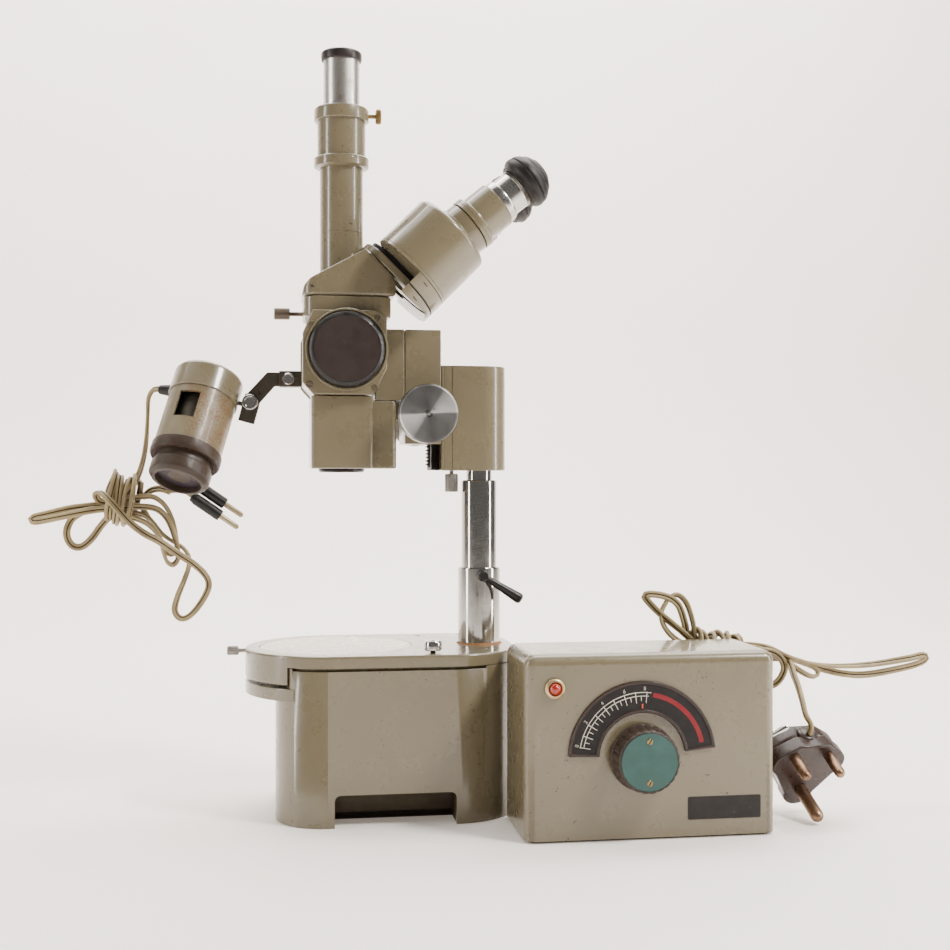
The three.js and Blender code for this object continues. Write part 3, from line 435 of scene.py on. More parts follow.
ENAMEL_COLOUR = srgb(108, 99, 77)
ENAMEL = enamel("enamel", ENAMEL_COLOUR)
ENAMEL_CHIPPED = enamel("enamel_chipped", ENAMEL_COLOUR, 0.06)
ENAMEL_WORN = enamel("enamel_worn", ENAMEL_COLOUR, 0.2)
CHROME = metal("chrome", srgb(206, 204, 202), 0.10, (1, 1, 30), 0.05)
SATIN_CHROME = metal("satin_chrome", srgb(186, 184, 180), 0.09, (30, 30, 1), 0.06)
STEEL = metal("steel", srgb(150, 146, 140), 0.32, (1, 1, 14), 0.2, srgb(104, 96, 84))
BRASS = metal("brass", srgb(140, 118, 80), 0.34, (1, 1, 10), 0.15, srgb(112, 88, 52))
PINS = metal("pin_metal", srgb(146, 118, 96), 0.36, (1, 1, 8), 0.2, srgb(70, 48, 38))
BLACK = satin("black", srgb(20, 18, 17), 0.42, srgb(80, 72, 60))
OLIVE_BLACK = satin("olive_black", srgb(58, 54, 46), 0.36, srgb(120, 112, 96))
RUBBER = satin("rubber", srgb(22, 18, 17), 0.46, grain=0.35)
BAKELITE = satin("bakelite", srgb(42, 28, 23), 0.34, srgb(96, 72, 58), coat=0.25)
BROWN = satin("brown_paint", srgb(50, 38, 30), 0.42, srgb(100, 80, 60))
TEAL = satin("teal_enamel", srgb(40, 74, 70), 0.4, coat=0.15)
WHITE = satin("white_paint", srgb(214, 208, 196), 0.5)
RED = satin("red_paint", srgb(120, 26, 34), 0.5)
ORANGE = satin("orange_paint", srgb(206, 96, 48), 0.5)
DARK = satin("dark_inside", srgb(22, 19, 17), 0.7)

BLACK_GLOSS = satin("black_gloss", srgb(20, 17, 16), 0.36, coat=0.1)
CAP_BLACK = satin("cap_black", srgb(36, 31, 29), 0.4, srgb(96, 90, 82), coat=0.1)
DISC_FACE = satin("disc_face", srgb(40, 31, 29), 0.5, grain=0.35)
BARREL = satin("barrel_paint", srgb(52, 42, 34), 0.38, srgb(130, 118, 102))
BEZEL = satin("bezel_brown", srgb(44, 31, 27), 0.36, srgb(100, 84, 74), coat=0.2)
DIAL_BLACK = satin("dial_black", srgb(22, 19, 19), 0.5)
LABEL_BLACK = satin("label_black", srgb(26, 22, 21), 0.4, srgb(96, 88, 76))
KNOB_BROWN = satin("knob_brown", srgb(52, 42, 36), 0.44, srgb(110, 96, 86))
JEWEL = satin("jewel_red", srgb(150, 36, 22), 0.12, coat=0.9)
LENS = satin("lamp_lens_glass", srgb(34, 24, 32), 0.5, coat=0.05)
# A darker olive than the enamel: painted shade for the walls inside the finger recesses.
RECESS_SHADE = satin("recess_shade", srgb(66, 55, 38), 0.5)
RUST = satin("rust", srgb(132, 92, 56), 0.7)
PLUG_PINS = metal("plug_pins", srgb(158, 146, 118), 0.3, (1, 1, 8), 0.1, srgb(110, 96, 70))
MIRROR = metal("mirror_glass", srgb(206, 210, 210), 0.06, (1, 1, 4), 0.02)
DRAW_CHROME = metal("draw_chrome", srgb(214, 210, 204), 0.3, (24, 24, 1), 0.3, srgb(160, 150, 136))
EYE_CHROME = metal("eye_chrome", srgb(188, 186, 182), 0.2, (1, 1, 14), 0.1)
STEEL_WARM = metal("steel_warm", srgb(120, 110, 98), 0.34, (1, 1, 10), 0.2, srgb(84, 74, 62))
GREY_STEEL = metal("grey_steel", srgb(96, 92, 84), 0.42, (8, 8, 1), 0.3, srgb(60, 52, 44))
CREAM_BRASS = metal("cream_brass", srgb(206, 186, 146), 0.36, (1, 1, 6), 0.1, srgb(150, 120, 78))
ENAMEL_DARK = enamel("enamel_dark", srgb(80, 72, 54))
ENAMEL_TOP = enamel("enamel_top", ENAMEL_COLOUR, 0.02)
STAGE = satin("stage_disc_paint", srgb(172, 162, 140), 0.25, coat=0.6)


def turned_material():
    """Faced steel: circular tool marks about the focus shaft, with two fans of painted highlight in its
    colour.
    """
    look = Look("turned_steel", srgb(150, 150, 150), 0.34, 0.85)
    pivot = next(Vector(joint["pos_m"]) for joint in frame["joints"] if joint["name"] == "focus_turn")
    shifted = look.node("ShaderNodeMapping")
    shifted.inputs["Location"].default_value = tuple(-pivot)
    look.feed(look.place, shifted.inputs["Vector"])
    split = look.node("ShaderNodeSeparateXYZ")
    look.feed(shifted.outputs["Vector"], split.inputs["Vector"])
    radius = look.maths("SQRT", look.maths("ADD", look.maths("POWER", split.outputs["X"], 2.0),
            look.maths("POWER", split.outputs["Z"], 2.0)))
    rings = look.node("ShaderNodeTexNoise", noise_dimensions="1D")
    rings.inputs["Scale"].default_value = 3200
    rings.inputs["Detail"].default_value = 2
    look.feed(radius, rings.inputs["W"])
    angle = look.maths("ARCTAN2", split.outputs["Z"], split.outputs["X"])
    share = look.maths("FRACT", look.maths("ADD", look.maths("DIVIDE", angle, math.pi), 1.0))
    # Painted highlight: two bright fans on opposite sides of the shaft, darker between them.
    fan_highlight = look.ramp(share, (0.0, 0.24), (0.03, 0.86), (0.2, 0.62), (0.29, 0.42), (0.33, 0.2), (0.55, 0.13),
            (0.8, 0.15), (1.0, 0.24))
    grey = look.ramp(rings.outputs["Fac"], (0.3, 0.80), (0.7, 1.0))
    look.colour(look.mix(1.0, fan_highlight, grey, "MULTIPLY"))
    look.rough(look.noise(7, 4), 0.3, 0.44)
    look.bump(rings.outputs["Fac"], 0.15, 0.02)
    return look.material


TURNED = turned_material()


def rusted_enamel():
    """The lamp's shade: enamel with a band of rust speckles down its warm side."""
    look = Look("enamel_rusted", ENAMEL_COLOUR, 0.36, Coat_Weight=0.1)
    patches = look.ramp(look.noise(20, 4), (0.36, 0.0), (0.66, 1.0))
    clouds = look.mix(patches, srgb(104, 95, 73), srgb(114, 104, 80))
    split = look.node("ShaderNodeSeparateXYZ")
    look.feed(look.place, split.inputs["Vector"])
    along = look.maths("MULTIPLY", look.maths("ADD", split.outputs["X"], 0.115), 20.0)
    band = look.ramp(along, (0.22, 0.0), (0.44, 1.0))
    speckle = look.ramp(look.noise(1.5, 4, 0.7), (0.44, 0.0), (0.56, 1.0))
    haze = look.ramp(look.noise(9, 3), (0.34, 0.25), (0.56, 1.0))
    rust = look.maths("MULTIPLY", look.maths("MULTIPLY", speckle, haze), band)
    look.colour(look.mix(rust, clouds, srgb(100, 68, 38)))
    look.rough(look.noise(9, 5), 0.3, 0.5)
    look.bump(speckle, 0.1, 0.04)
    return look.material


ENAMEL_RUSTED = rusted_enamel()


def flex_material():
    """Twin flex: beige plastic, slightly glossy and unevenly darkened."""
    look = Look("flex", srgb(140, 124, 88), 0.46, Coat_Weight=0.1)
    patches = look.mix(look.ramp(look.noise(16, 4), (0.35, 0.0), (0.7, 1.0)), srgb(124, 108, 74),
            srgb(154, 138, 98))
    look.colour(patches)
    look.rough(look.noise(3, 3), 0.4, 0.6)
    look.bump(look.noise(0.8, 2), 0.15, 0.05)
    return look.material


FLEX = flex_material()
# A dark brown for the flex's grooves: painted shade between its two wires.
FLEX_GROOVE_SHADE = satin("flex_groove_shade", srgb(62, 48, 30), 0.7)


# ---------------------------------------------------------------- cords

FLEX_WIDTH = 5.2
WIRE_RADIUS = 1.34


def smooth_path(points, step=2.0):
    """Points a step apart along a smooth curve through the given ones."""
    points = [Vector(point) for point in points]
    padded = [2 * points[0] - points[1], *points, 2 * points[-1] - points[-2]]
    fine = []
    for before, first, second, after in zip(padded, padded[1:], padded[2:], padded[3:]):
        for i in range(16):
            t = i / 16
            fine.append(0.5 * (2 * first + (second - before) * t + (2 * before - 5 * first
                    + 4 * second - after) * t * t + (3 * first - before - 3 * second + after) * t ** 3))
    fine.append(points[-1])
    lengths = [(second - first).length for first, second in zip(fine, fine[1:])]
    count = round(sum(lengths) / step)
    even = sum(lengths) / count
    path, covered, i = [fine[0]], 0.0, 0
    for mark in range(1, count):
        while covered + lengths[i] < mark * even:
            covered += lengths[i]
            i += 1
        path.append(fine[i].lerp(fine[i + 1], (mark * even - covered) / lengths[i]))
    return path + [fine[-1]]


TWIN_STEPS = 12


def twin_section(width, wire):
    """Two wires side by side with a groove between them."""
    offset = width / 2 - wire
    return arc(offset, 0, wire, -152, 152, TWIN_STEPS) + arc(-offset, 0, wire, 28, 332, TWIN_STEPS)


def groove_faces():
    """Which of a twin section's sides lie in its two grooves."""
    count = TWIN_STEPS + 1
    return {0, count - 2, count - 1, count, 2 * count - 2, 2 * count - 1}


def paint_groove_shade(flex):
    """Painted shade in the grooves of a twin flex. Its faces go round the section, ring by ring."""
    for look in (FLEX, FLEX_GROOVE_SHADE):
        flex.data.materials.append(look)
    around, grooves = 2 * (TWIN_STEPS + 1), groove_faces()
    for i, face in enumerate(flex.data.polygons):
        face.material_index = int(i % around in grooves)
    return flex


def sweep(name, path, section, twist=0.0):
    """A section carried along a path, turned by twist degrees for each millimetre."""
    count = len(section)
    points, faces = [], []
    tangent = (path[1] - path[0]).normalized()
    side = tangent.orthogonal().normalized()
    travelled = 0.0
    for i, place in enumerate(path):
        ahead = path[min(i + 1, len(path) - 1)]
        behind = path[max(i - 1, 0)]
        new_tangent = (ahead - behind).normalized()
        side = (tangent.rotation_difference(new_tangent) @ side).normalized()
        tangent = new_tangent
        travelled += (place - behind).length
        turn = math.radians(twist * travelled)
        first = math.cos(turn) * side + math.sin(turn) * tangent.cross(side)
        second = tangent.cross(first)
        points += [place + first * x + second * y for x, y in section]
    for ring in range(len(path) - 1):
        for i in range(count):
            after = (i + 1) % count
            start, end = ring * count, (ring + 1) * count
            faces.append((start + i, start + after, end + after, end + i))
    faces.append(tuple(reversed(range(count))))
    faces.append(tuple(range(len(points) - count, len(points))))
    piece = mesh_object(name, points, faces)
    piece.data.shade_smooth()
    piece.data.set_sharp_from_angle(angle=math.radians(60))
    return piece


def windings(start, end, height, depth, turns, first_turn=90.0):
    """Turns round a bundle that runs from start to end, in planes across it."""
    start, end = Vector(start), Vector(end)
    steps = turns * 14
    across_up = Vector((-(end - start).z, 0, (end - start).x)).normalized()
    path = []
    for i in range(steps + 1):
        share = i / steps
        turned = TAU * turns * share
        angle = math.radians(first_turn) + turned
        centre = start.lerp(end, min(1, max(0, share + 0.035 * math.sin(1.6 * turned))))
        uneven = 1 + 0.11 * math.sin(0.73 * turned + 1)
        path.append(centre + across_up * height * uneven * math.sin(angle)
                + Vector((0, depth * math.cos(angle), 0)))
    return path


# The lamp's flex: out of the grommet and down into its bundle, out to the loops on
# the left and right in turn, four turns round the bundle, and away to the pin plugs.
LAMP_ROUTE = [
    (-122.0, 10.3, 292.4), (-126.2, 11.7, 292.0), (-129.6, 12.6, 286), (-130.2, 12.8, 274),
    (-131.0, 12.5, 258), (-133.2, 12, 243), (-138, 13, 229), (-145, 14, 220), (-153, 13.5, 214),
    (-167, 12, 211.5), (-182, 11, 209.5), (-198, 10, 205.6), (-206, 9, 203.6), (-207.5, 8, 201.4),
    (-203, 7.5, 200.8), (-184, 7, 204.8), (-168, 6.5, 208.2), (-155, 6, 209.6), (-145, 6, 210.5),
    (-132, 7, 210.6), (-123, 8.5, 208.6), (-116.5, 9.5, 202), (-112.4, 10.5, 192), (-110, 12, 182),
    (-109.6, 14, 174), (-113, 15, 169.6), (-117, 13, 172), (-119.2, 10, 179), (-121, 7.5, 188),
    (-127, 6, 196.5), (-135, 6, 201.5), (-145, 6.5, 204), (-155, 8, 203.6), (-161.5, 9.5, 197.2),
    (-167.4, 10.5, 189.1), (-174, 11, 183.2), (-180, 11.5, 183.2), (-184, 12, 188),
    (-184.6, 12.5, 195), (-180.4, 13, 203), (-170, 13.5, 208.4), (-158, 14, 209), (-145, 14, 207),
    (-133, 13.5, 204.6), (-127, 13.5, 199.6), (-120.6, 14, 191.6), (-113.6, 14.5, 186.2),
    (-106.6, 14.5, 182), (-102.4, 14, 176), (-102.2, 13.5, 168), (-105.2, 13, 158.9),
    (-109.6, 12, 147.7), (-111.6, 11, 138.5), (-108.6, 10, 133), (-103.6, 9, 132.8), (-97.1, 8, 138.3),
    (-90.4, 7.5, 148.5), (-88, 7, 156.7), (-91.4, 6.5, 164), (-99.1, 6, 171.2), (-107.2, 5, 176.6),
    (-114, 4, 181.4), (-122, 2, 187), (-132, -2, 193), (-141, -4.5, 200.5), (-149, -5, 209.4),
    (-156, -3.5, 217), (-161, 0.5, 220.8), (-164.4, 5, 219), (-162, 9, 214.5), (-154, 10, 214),
    (-144, 10, 216), (-133, 10, 217.6), (-125.2, 10, 217), (-118.2, 10.5, 211.3),
    (-113.4, 11.5, 202.1), (-110.9, 13.5, 191.8), (-110.4, 17, 182), (-114, 19.4, 176.4),
    (-119.4, 18.4, 180), (-123, 16.5, 189), (-128, 15, 200), (-135, 14, 210), (-144, 13.4, 213),
    (-153, 13.2, 216), (-157.5, 14, 220),
]
LAMP_ROUTE += windings((-155.5, 10, 217.5), (-137.5, 10, 214), 16, 9.5, 4, 60)
LAMP_ROUTE += [(-134.5, 18.5, 217), (-129, 18.6, 221.5), (-122, 17, 223), (-114.5, 14.8, 221)]

lamp_path = smooth_path(LAMP_ROUTE)
lamp_flex = sweep("lamp_flex", lamp_path, twin_section(FLEX_WIDTH, WIRE_RADIUS), 0.9)

# The mains flex: out of the gland and up behind the case, through its bundle to each loop in
# turn, round the bundle and down into the plug.
MAINS_ROUTE = [
    (250, -34.4, 60), (250, -25, 60.4), (251, -18, 66), (254, -17, 80), (262, -24, 96),
    (268, -34, 107), (258, -38.5, 112), (247, -38, 117), (238, -39, 124.4), (223.4, -40, 136),
    (213.6, -40.5, 146), (213.4, -40.5, 149.2), (221, -40, 149.2), (230.6, -39, 146.6),
    (237.9, -38, 140.6), (242.4, -37, 128.5), (245, -35.5, 119), (252, -34.5, 114.6),
    (270, -34.4, 112.4), (288, -36, 112.6), (302, -40, 111), (314, -42, 105.4), (327, -42, 100.8),
    (347, -41, 97), (376.8, -40, 97), (406.8, -40, 100.8), (418.5, -40, 103), (421.6, -40, 101),
    (417, -40, 97.6), (404, -39, 94), (376.8, -38.6, 89.8), (358.9, -38, 90.8), (341, -37.5, 95),
    (327, -37, 100), (312, -37, 104.5), (296, -37.5, 106), (276, -38.5, 108.4), (258, -39.5, 111.5),
    (250, -38.4, 118), (248, -37.5, 130), (243.4, -37, 143), (236.6, -37, 148.6), (230, -37.4, 145),
    (225, -38.4, 135.7), (227.2, -39.6, 126), (236, -40.6, 117), (248, -41, 111.4), (264, -41, 109),
    (282, -41.6, 108), (300, -43, 108.6), (309, -43.4, 105), (313.4, -43, 97), (310.6, -42, 88.6),
    (304.4, -41, 84), (296, -40, 86), (287, -38, 94), (276, -36.5, 101), (260, -36, 106),
    (240, -37, 105.6), (220, -38, 101), (198, -38.4, 97), (180, -38.6, 93.4), (172, -38.6, 88),
    (174.6, -38.6, 81.6), (184, -38.6, 81), (204, -38.6, 87.6), (226, -38.2, 95.6), (246, -37.6, 102),
    (266, -36, 103.4), (286, -36, 105.6), (300, -37, 106.4), (312, -40, 103), (322, -43, 96),
    (331, -43.4, 90.8), (337.2, -42.6, 90), (338.2, -41.6, 94), (331, -40.6, 98.6), (318, -40, 103.4),
    (302, -39.4, 109), (284, -38.4, 111.6), (266, -38.2, 113.6), (252, -38, 114.6), (246.5, -36, 118),
]
MAINS_ROUTE += windings((249, -38, 112.6), (283, -38, 108.4), 10.2, 8.2, 6, 70)
MAINS_ROUTE += [
    (290, -31, 103), (301, -29, 100), (310, -32, 102), (315.5, -40, 101.5), (316, -48, 98.5),
    (314.5, -57, 94), (313, -69, 87.5), (311.5, -80, 79.5), (310.5, -88.5, 71.5), (312.9, -91.9, 65),
    (312.5, -89.8, 59.1),
]

mains_path = smooth_path(MAINS_ROUTE)
mains_flex = sweep("mains_flex", mains_path, twin_section(FLEX_WIDTH, WIRE_RADIUS), 0.7)
show(paint_groove_shade(lamp_flex), "lamp", None, "flex", "lamp_cord", "lamp_cord_hank")
show(paint_groove_shade(mains_flex), "base", None, "flex", "mains_cord", "mains_cord_hank")


# ---------------------------------------------------------------- shared shapes

def ends_outline(x0, x1, half, front, back, steps=16):
    """A plan outline, symmetrical about X, with different corner radii at its two ends."""
    return (arc(x0 + front, front - half, front, 180, 270, steps)
            + arc(x1 - back, back - half, back, 270, 360, steps)
            + arc(x1 - back, half - back, back, 0, 90, steps) + arc(x0
            + front, half - front, front, 90, 180, steps))


def side_block(name, side, xs, depths, zs):
    """A block on one side of the middle, between two distances from it."""
    y0, y1 = sorted(side * depth for depth in depths)
    return block(name, (xs[0], y0, zs[0]), (xs[1], y1, zs[1]))


def turned(name, profile, sides, place, body, look, slot, *nodes):
    """A turned piece that needs no cutting, on its body."""
    return show(soften(lathe(name, profile, sides, place), 0), body, look, slot, *nodes)


def press_in(piece, share, chosen):
    """Scales the chosen points of a turned piece towards its axis, before it goes to its place.
    chosen is asked with a point's distance from the axis, its share of a turn and its height."""
    for vertex in piece.data.vertices:
        x, y, z = vertex.co / MM
        if chosen(math.hypot(x, y), math.atan2(y, x) / TAU, z):
            factor = share(x, y, z) if callable(share) else share
            vertex.co.x *= factor
            vertex.co.y *= factor


def slotted_screw(name, place, radius=2.4, turn=35, raised=0.5):
    """A cheese-head screw on a face: the place's Z points out of the face."""
    head = lathe(name, [(0, -0.6), (radius, -0.6), (radius, raised - 0.25), (radius - 0.3, raised),
            (0, raised)], 32)
    groove = block("groove", (-radius - 1, -0.35, raised - 0.6), (radius + 1, 0.35, 2),
            Matrix.Rotation(math.radians(turn), 4, "Z"))
    return moved(soften(carve(head, groove), 0.08, 2), place)


def knurled_screw(name, place, shank, reach, radius, length, ridges=28, dish=False):
    """A hand screw: shank from 0 to reach, then a head with knurled sides."""
    end, sides = reach + length, ridges * 4
    inside = [(radius * 0.7, end), (radius * 0.62, end - 0.7), (0, end - 0.7)] if dish else [(0, end)]
    piece = lathe(name, [(0, 0), (shank, 0), (shank, reach), (radius - 0.7, reach), (radius, reach + 0.6),
            (radius, end - 0.6), (radius - 0.6, end)] + inside, sides)
    press_in(piece, 1 - 0.28 / radius, lambda off, turn,
            z: abs(off - radius) < 0.01 and round(turn * sides) % sides % 4 >= 2)
    return moved(soften(piece, 0), place)


def threaded(name, place, radius, length, pitch=0.7):
    """A screw's shank with ridges for its thread."""
    profile, height = [(0, 0)], 0.0
    while height < length:
        profile += [(radius - 0.25, height), (radius, height + pitch / 2)]
        height += pitch
    return lathe(name, profile + [(radius - 0.25, height), (0, height)], 32, place)


def cast(piece, cell, passes):
    """Rounds a solid all over, as a casting is, by rebuilding it in small cells and relaxing them."""
    change(piece, "REMESH", mode="VOXEL", voxel_size=cell * MM, use_smooth_shade=True)
    change(piece, "SMOOTH", factor=0.5, iterations=passes)
    return settle(piece)


# ---------------------------------------------------------------- base and stage

FRONT, BACK, HALF = -42, 125, 62.7
FRONT_CORNER, BACK_CORNER = 34, 48
WIDE = 80
HOUSING_TOP, PLATE_TOP = 104.8, 113
WALL = 6
STAGE_RADIUS = 52.9
STAGE_HOLE = 44
LOCK_Z = 110.6
CLIP = (63, 49)
POLE_X = middle("pole").x
POLE_BORE = 13.2
GRIP_X0, GRIP_X1, GRIP_TOP = -3.5, 77.5, 21.7
GRIP_CORNER = 4
GRIP_WALL = 37.7
LINER = 1.2


def base_outline(inset=0.0):
    return ends_outline(FRONT + inset, BACK - inset, HALF - inset, FRONT_CORNER - inset,
            BACK_CORNER - inset)


def plate_outline():
    corner = HALF - BACK_CORNER
    return (arc(0, 0, HALF, 90, 270, 56) + arc(BACK - BACK_CORNER, -corner, BACK_CORNER, 270, 360, 20)
            + arc(BACK - BACK_CORNER, corner, BACK_CORNER, 0, 90, 20))


def make_base_housing():
    body = soften(prism("base_body", base_outline(), 0, HOUSING_TOP), 0.8, 3)
    carve(body, prism("hollow", base_outline(WALL), -1, 98))
    lip = soften(prism("lip", plate_outline(), 82.5, 91), 0.7, 3)
    fuse(body, carve(lip, block("lip_end", (-30, -WIDE, 70), (200, WIDE, 120))))
    slot = carve(block("slot", (-31, -70, 102.9), (98, 70, 106)),
            prism("slot_core", base_outline(3), 101, 108))
    grip = ([(GRIP_X0, -2), (GRIP_X1, -2)]
            + arc(GRIP_X1 - GRIP_CORNER, GRIP_TOP - GRIP_CORNER, GRIP_CORNER, 0, 90, 6)
            + arc(GRIP_X0 + GRIP_CORNER, GRIP_TOP - GRIP_CORNER, GRIP_CORNER, 90, 180, 6))
    carve(body, block("notch", (-WIDE, -WIDE, 91), (-34, WIDE, 106)), slot,
            round_bar("stage_hole", STAGE_HOLE, 90, 110),
            round_bar("pole_hole", POLE_BORE, 90, 110, 64, upright(POLE_X, 0)),
            across("near_grip", grip, -70, -50), across("far_grip", grip, 50, 70))
    show(soften(body, 0), "base", ENAMEL_CHIPPED, "enamel", "base_housing")


def make_recess_liners():
    """Walls that close the finger recesses off from the hollow casting, in a darker olive than the enamel:
    painted shade in the recesses.
    """
    xs, depths, zs = (GRIP_X0 - 1, GRIP_X1 + 1), (HALF - WALL - 0.3, GRIP_WALL), (0.8, GRIP_TOP + 1)
    for side, label in ((-1, "near"), (1, "far")):
        walls = [side_block("recess_back", side, xs, (GRIP_WALL, GRIP_WALL - LINER), zs),
                side_block("recess_roof", side, xs, depths, (GRIP_TOP, GRIP_TOP + LINER))]
        for x in (GRIP_X0 - LINER, GRIP_X1):
            walls.append(side_block("recess_end", side, (x, x + LINER), depths, zs))
        show(merge(f"recess_liner_{label}", *walls), "base", RECESS_SHADE, "brown")
    sole = prism("base_sole", base_outline(WALL + 0.3), 0, 5.2)
    for side in (-1, 1):
        carve(sole, side_block("sole_cut", side, (GRIP_X0, GRIP_X1), (GRIP_WALL, 70), (-1, 7)))
    show(soften(sole, 0.4, 2), "base", BROWN, "brown", "base_bottom_plate")


def make_base_top():
    plate = soften(prism("base_top", plate_outline(), 93, PLATE_TOP), 1.5, 4)
    carve(plate, block("plate_underside", (-34.3, -WIDE, 80), (200, WIDE, 105.1)),
            round_bar("stage_seat", STAGE_RADIUS + 0.3, 109, 115, 160),
            round_bar("stage_bore", STAGE_HOLE, 90, 112),
            round_bar("pole_bore", POLE_BORE, 100, 115, 64, upright(POLE_X, 0)),
            round_bar("lock_bore", 1.9, -1, 30, 24, along_x(-45, 0, LOCK_Z, -1)))
    for y in (-CLIP[1], CLIP[1]):
        carve(plate, lathe("clip_hole", [(0, 100), (2.3, 100), (2.3, 112.2), (3, 115), (0, 115)],
                32, upright(CLIP[0], y)))
    show(soften(plate, 0), "base", ENAMEL_TOP, "enamel", "base_top_plate")
    # A dark ring under the stage disc's edge: painted shade at the bottom of the gap round the disc.
    inner, outer = STAGE_RADIUS - 6, STAGE_RADIUS + 0.28
    ring = lathe("stage_seat_ring", [(inner, 109.02), (outer, 109.02), (outer, 109.2), (inner, 109.2)], 160)
    show(ring, "base", DARK, "black")
    # A dark disc inside the empty clip hole: painted shade at the hole's bottom.
    show(round_bar("clip_hole_floor", 2.25, 105.5, 106.5, 24, upright(*CLIP)), "base", DARK, "black")


def make_stage():
    turned("stage_disc", [(0, 109.3), (STAGE_RADIUS, 109.3), (STAGE_RADIUS, 112.5),
            (STAGE_RADIUS - 0.5, 113), (0, 113)], 180, None, "stage", STAGE, "stage_glass", "stage_plate")
    stem = threaded("clip_screw_stem", upright(CLIP[0], -CLIP[1], 108), 2, 7, 0.8)
    head = lathe("clip_screw_head", [(0, 114.5), (5.4, 114.5), (6, 115.1), (6, 116.2), (5.6, 116.5),
            (6, 116.8), (6, 119.8), (5, 121), (2.4, 121), (2.2, 120.2), (0, 120.2)], 64,
            upright(CLIP[0], -CLIP[1]))
    show(merge("clip_screw", stem, head), "stage_clip", CHROME, "chrome", "stage_clip_screw")
    screw = knurled_screw("lock_screw", along_x(-53.7, 0, LOCK_Z, -1), 1.5, 13.5, 3.2, 8, 18)
    show(screw, "stage_lock", STEEL, "steel", "stage_lock_screw")
    wedge = across("mirror_wedge", [(-30, 5.5), (30, 5.5), (30, 8.2), (-30, 65)], -28, 28)
    show(soften(wedge, 0.5, 2), "base", MIRROR, "mirror", "substage_mirror")


make_base_housing()
make_recess_liners()
make_base_top()
make_stage()


# ---------------------------------------------------------------- pole and arm

CLAMP_Z = 162
ARM_BOTTOM, ARM_TOP = 235.7, 309
ARM_SCREW_X = 82
SHAFT_X, SHAFT_Z = 60, 274


def make_pole():
    tube = lathe("socket_tube", [(12.8, 113.3), (14.2, 113.3), (15, 114.1), (15, 166.4), (14.6, 167),
            (12.8, 167)], 96, upright(POLE_X, 0))
    carve(tube, round_bar("stud_hole", 2.8, 10, 18, 32, near_y(POLE_X, 0, CLAMP_Z)))
    show(soften(tube, 0), "base", SATIN_CHROME, "chrome", "pole_socket")
    stain = lathe("socket_rust", [(15.05, 113.02), (16.4, 113.02), (15.6, 113.5), (15.05, 114.4)], 96,
            upright(POLE_X, 0))
    show(stain, "base", RUST, "steel")
    turned("pole_rod", [(0, 60), (12.5, 60), (12.5, 228), (12.1, 228.6), (11.5, 229), (9, 229), (9, 301),
            (0, 301)], 96, upright(POLE_X, 0), "pole", SATIN_CHROME, "chrome", "pole")
    stud = lathe("clamp_stud", [(0, 13), (2.3, 13), (2.3, 15.4), (3.6, 15.4), (4, 15.9), (4, 21.6), (3, 23),
            (0, 23)], 48, near_y(POLE_X, 0, CLAMP_Z))
    handle = lathe("clamp_handle", [(0, 0), (2.1, 0), (2.5, 6), (3.2, 18), (3.8, 27), (3.6, 29), (2.8, 30),
            (0, 30.5)], 48, leaning((POLE_X + 1.6, -19.3, CLAMP_Z - 1), 0.56))
    show(merge("clamp_lever", stud, handle), "pole_clamp", BLACK_GLOSS, "black", "pole_clamp_lever")


def make_arm():
    outline = [(72.3, 20), (72.3, -20)] + arc(102, -2, 18, 270, 360, 16) + arc(102, 2, 18, 0, 90, 16)
    arm = soften(prism("arm_body", outline, ARM_BOTTOM, ARM_TOP), 0.7, 3)
    carve(arm, round_bar("arm_bore", 9.3, 230, 301.3, 64, upright(POLE_X, 0)))
    for side in (-1, 1):
        carve(arm, side_block("seam", side, (79.75, 80.25), (19.4, 22), (230, 312)),
                side_block("edge_seam", side, (74.1, 74.35), (19.75, 22), (230, 312)))
    carve(arm, round_bar("screw_hole", 1.9, 230, 244.7, 32, upright(ARM_SCREW_X, 0)))
    show(soften(arm, 0), "arm", ENAMEL, "enamel", "arm_carrier")
    dimple = slotted_screw("arm_side_plug", near_y(104.3, -19.95, 296.3), 1.5, 20, 0.05)
    show(dimple, "arm", ENAMEL, "enamel")
    hanging = upright(ARM_SCREW_X, 0, 243) @ Matrix.Rotation(math.pi, 4, "X")
    screw = knurled_screw("arm_screw", hanging, 1.5, 9.5, 4.7, 12.9, 30)
    show(screw, "arm_lock", STEEL, "steel", "arm_lock_screw")


def make_focus():
    slide = soften(block("slide_body", (46.7, -22, 254), (71.9, 22, 333.4)), 0.8, 3)
    groove = [(65.7, -13.3), (74, -10.8), (74, 10.8), (65.7, 13.3)]
    carve(slide, prism("dovetail", groove, 250, 327.4), block("pocket", (53, -5.5, 250), (67, 5.5, 327.4)),
            round_bar("shaft_bore", 3.3, -30, 30, 48, near_y(SHAFT_X, 0, SHAFT_Z)))
    show(soften(slide, 0), "focus", ENAMEL, "enamel", "focus_slide")
    for side, facing in (("near", near_y), ("far", far_y)):
        place = facing(SHAFT_X, 0, SHAFT_Z)
        knob = lathe("focus_knob", [(3.2, 23), (9, 23), (9, 38), (18.8, 38), (20, 39), (20, 50.6),
                (19.7, 51.3), (19.2, 51.8), (18.9, 51.7), (18.6, 51.9), (2.6, 52), (2.2, 50.6), (0, 50.6),
                (0, 44.3), (3.2, 44.3)], 160)
        for turn in (40, 220):
            x, y = arc(0, 0, 4.6, turn, turn, 1)[0]
            carve(knob, round_bar("pin_hole", 0.7, 50.5, 53, 24, upright(x, y)))
        show(moved(soften(knob, 0), place), "pinion", TURNED, "steel", f"focus_knob_{side}")
        centre = lathe("knob_centre", [(0, 50.65), (1.2, 50.65), (1.1, 51.4), (0, 51.6)], 32, place)
        show(centre, "pinion", STEEL, "steel")


make_pole()
make_arm()
make_focus()


# ---------------------------------------------------------------- zoom body

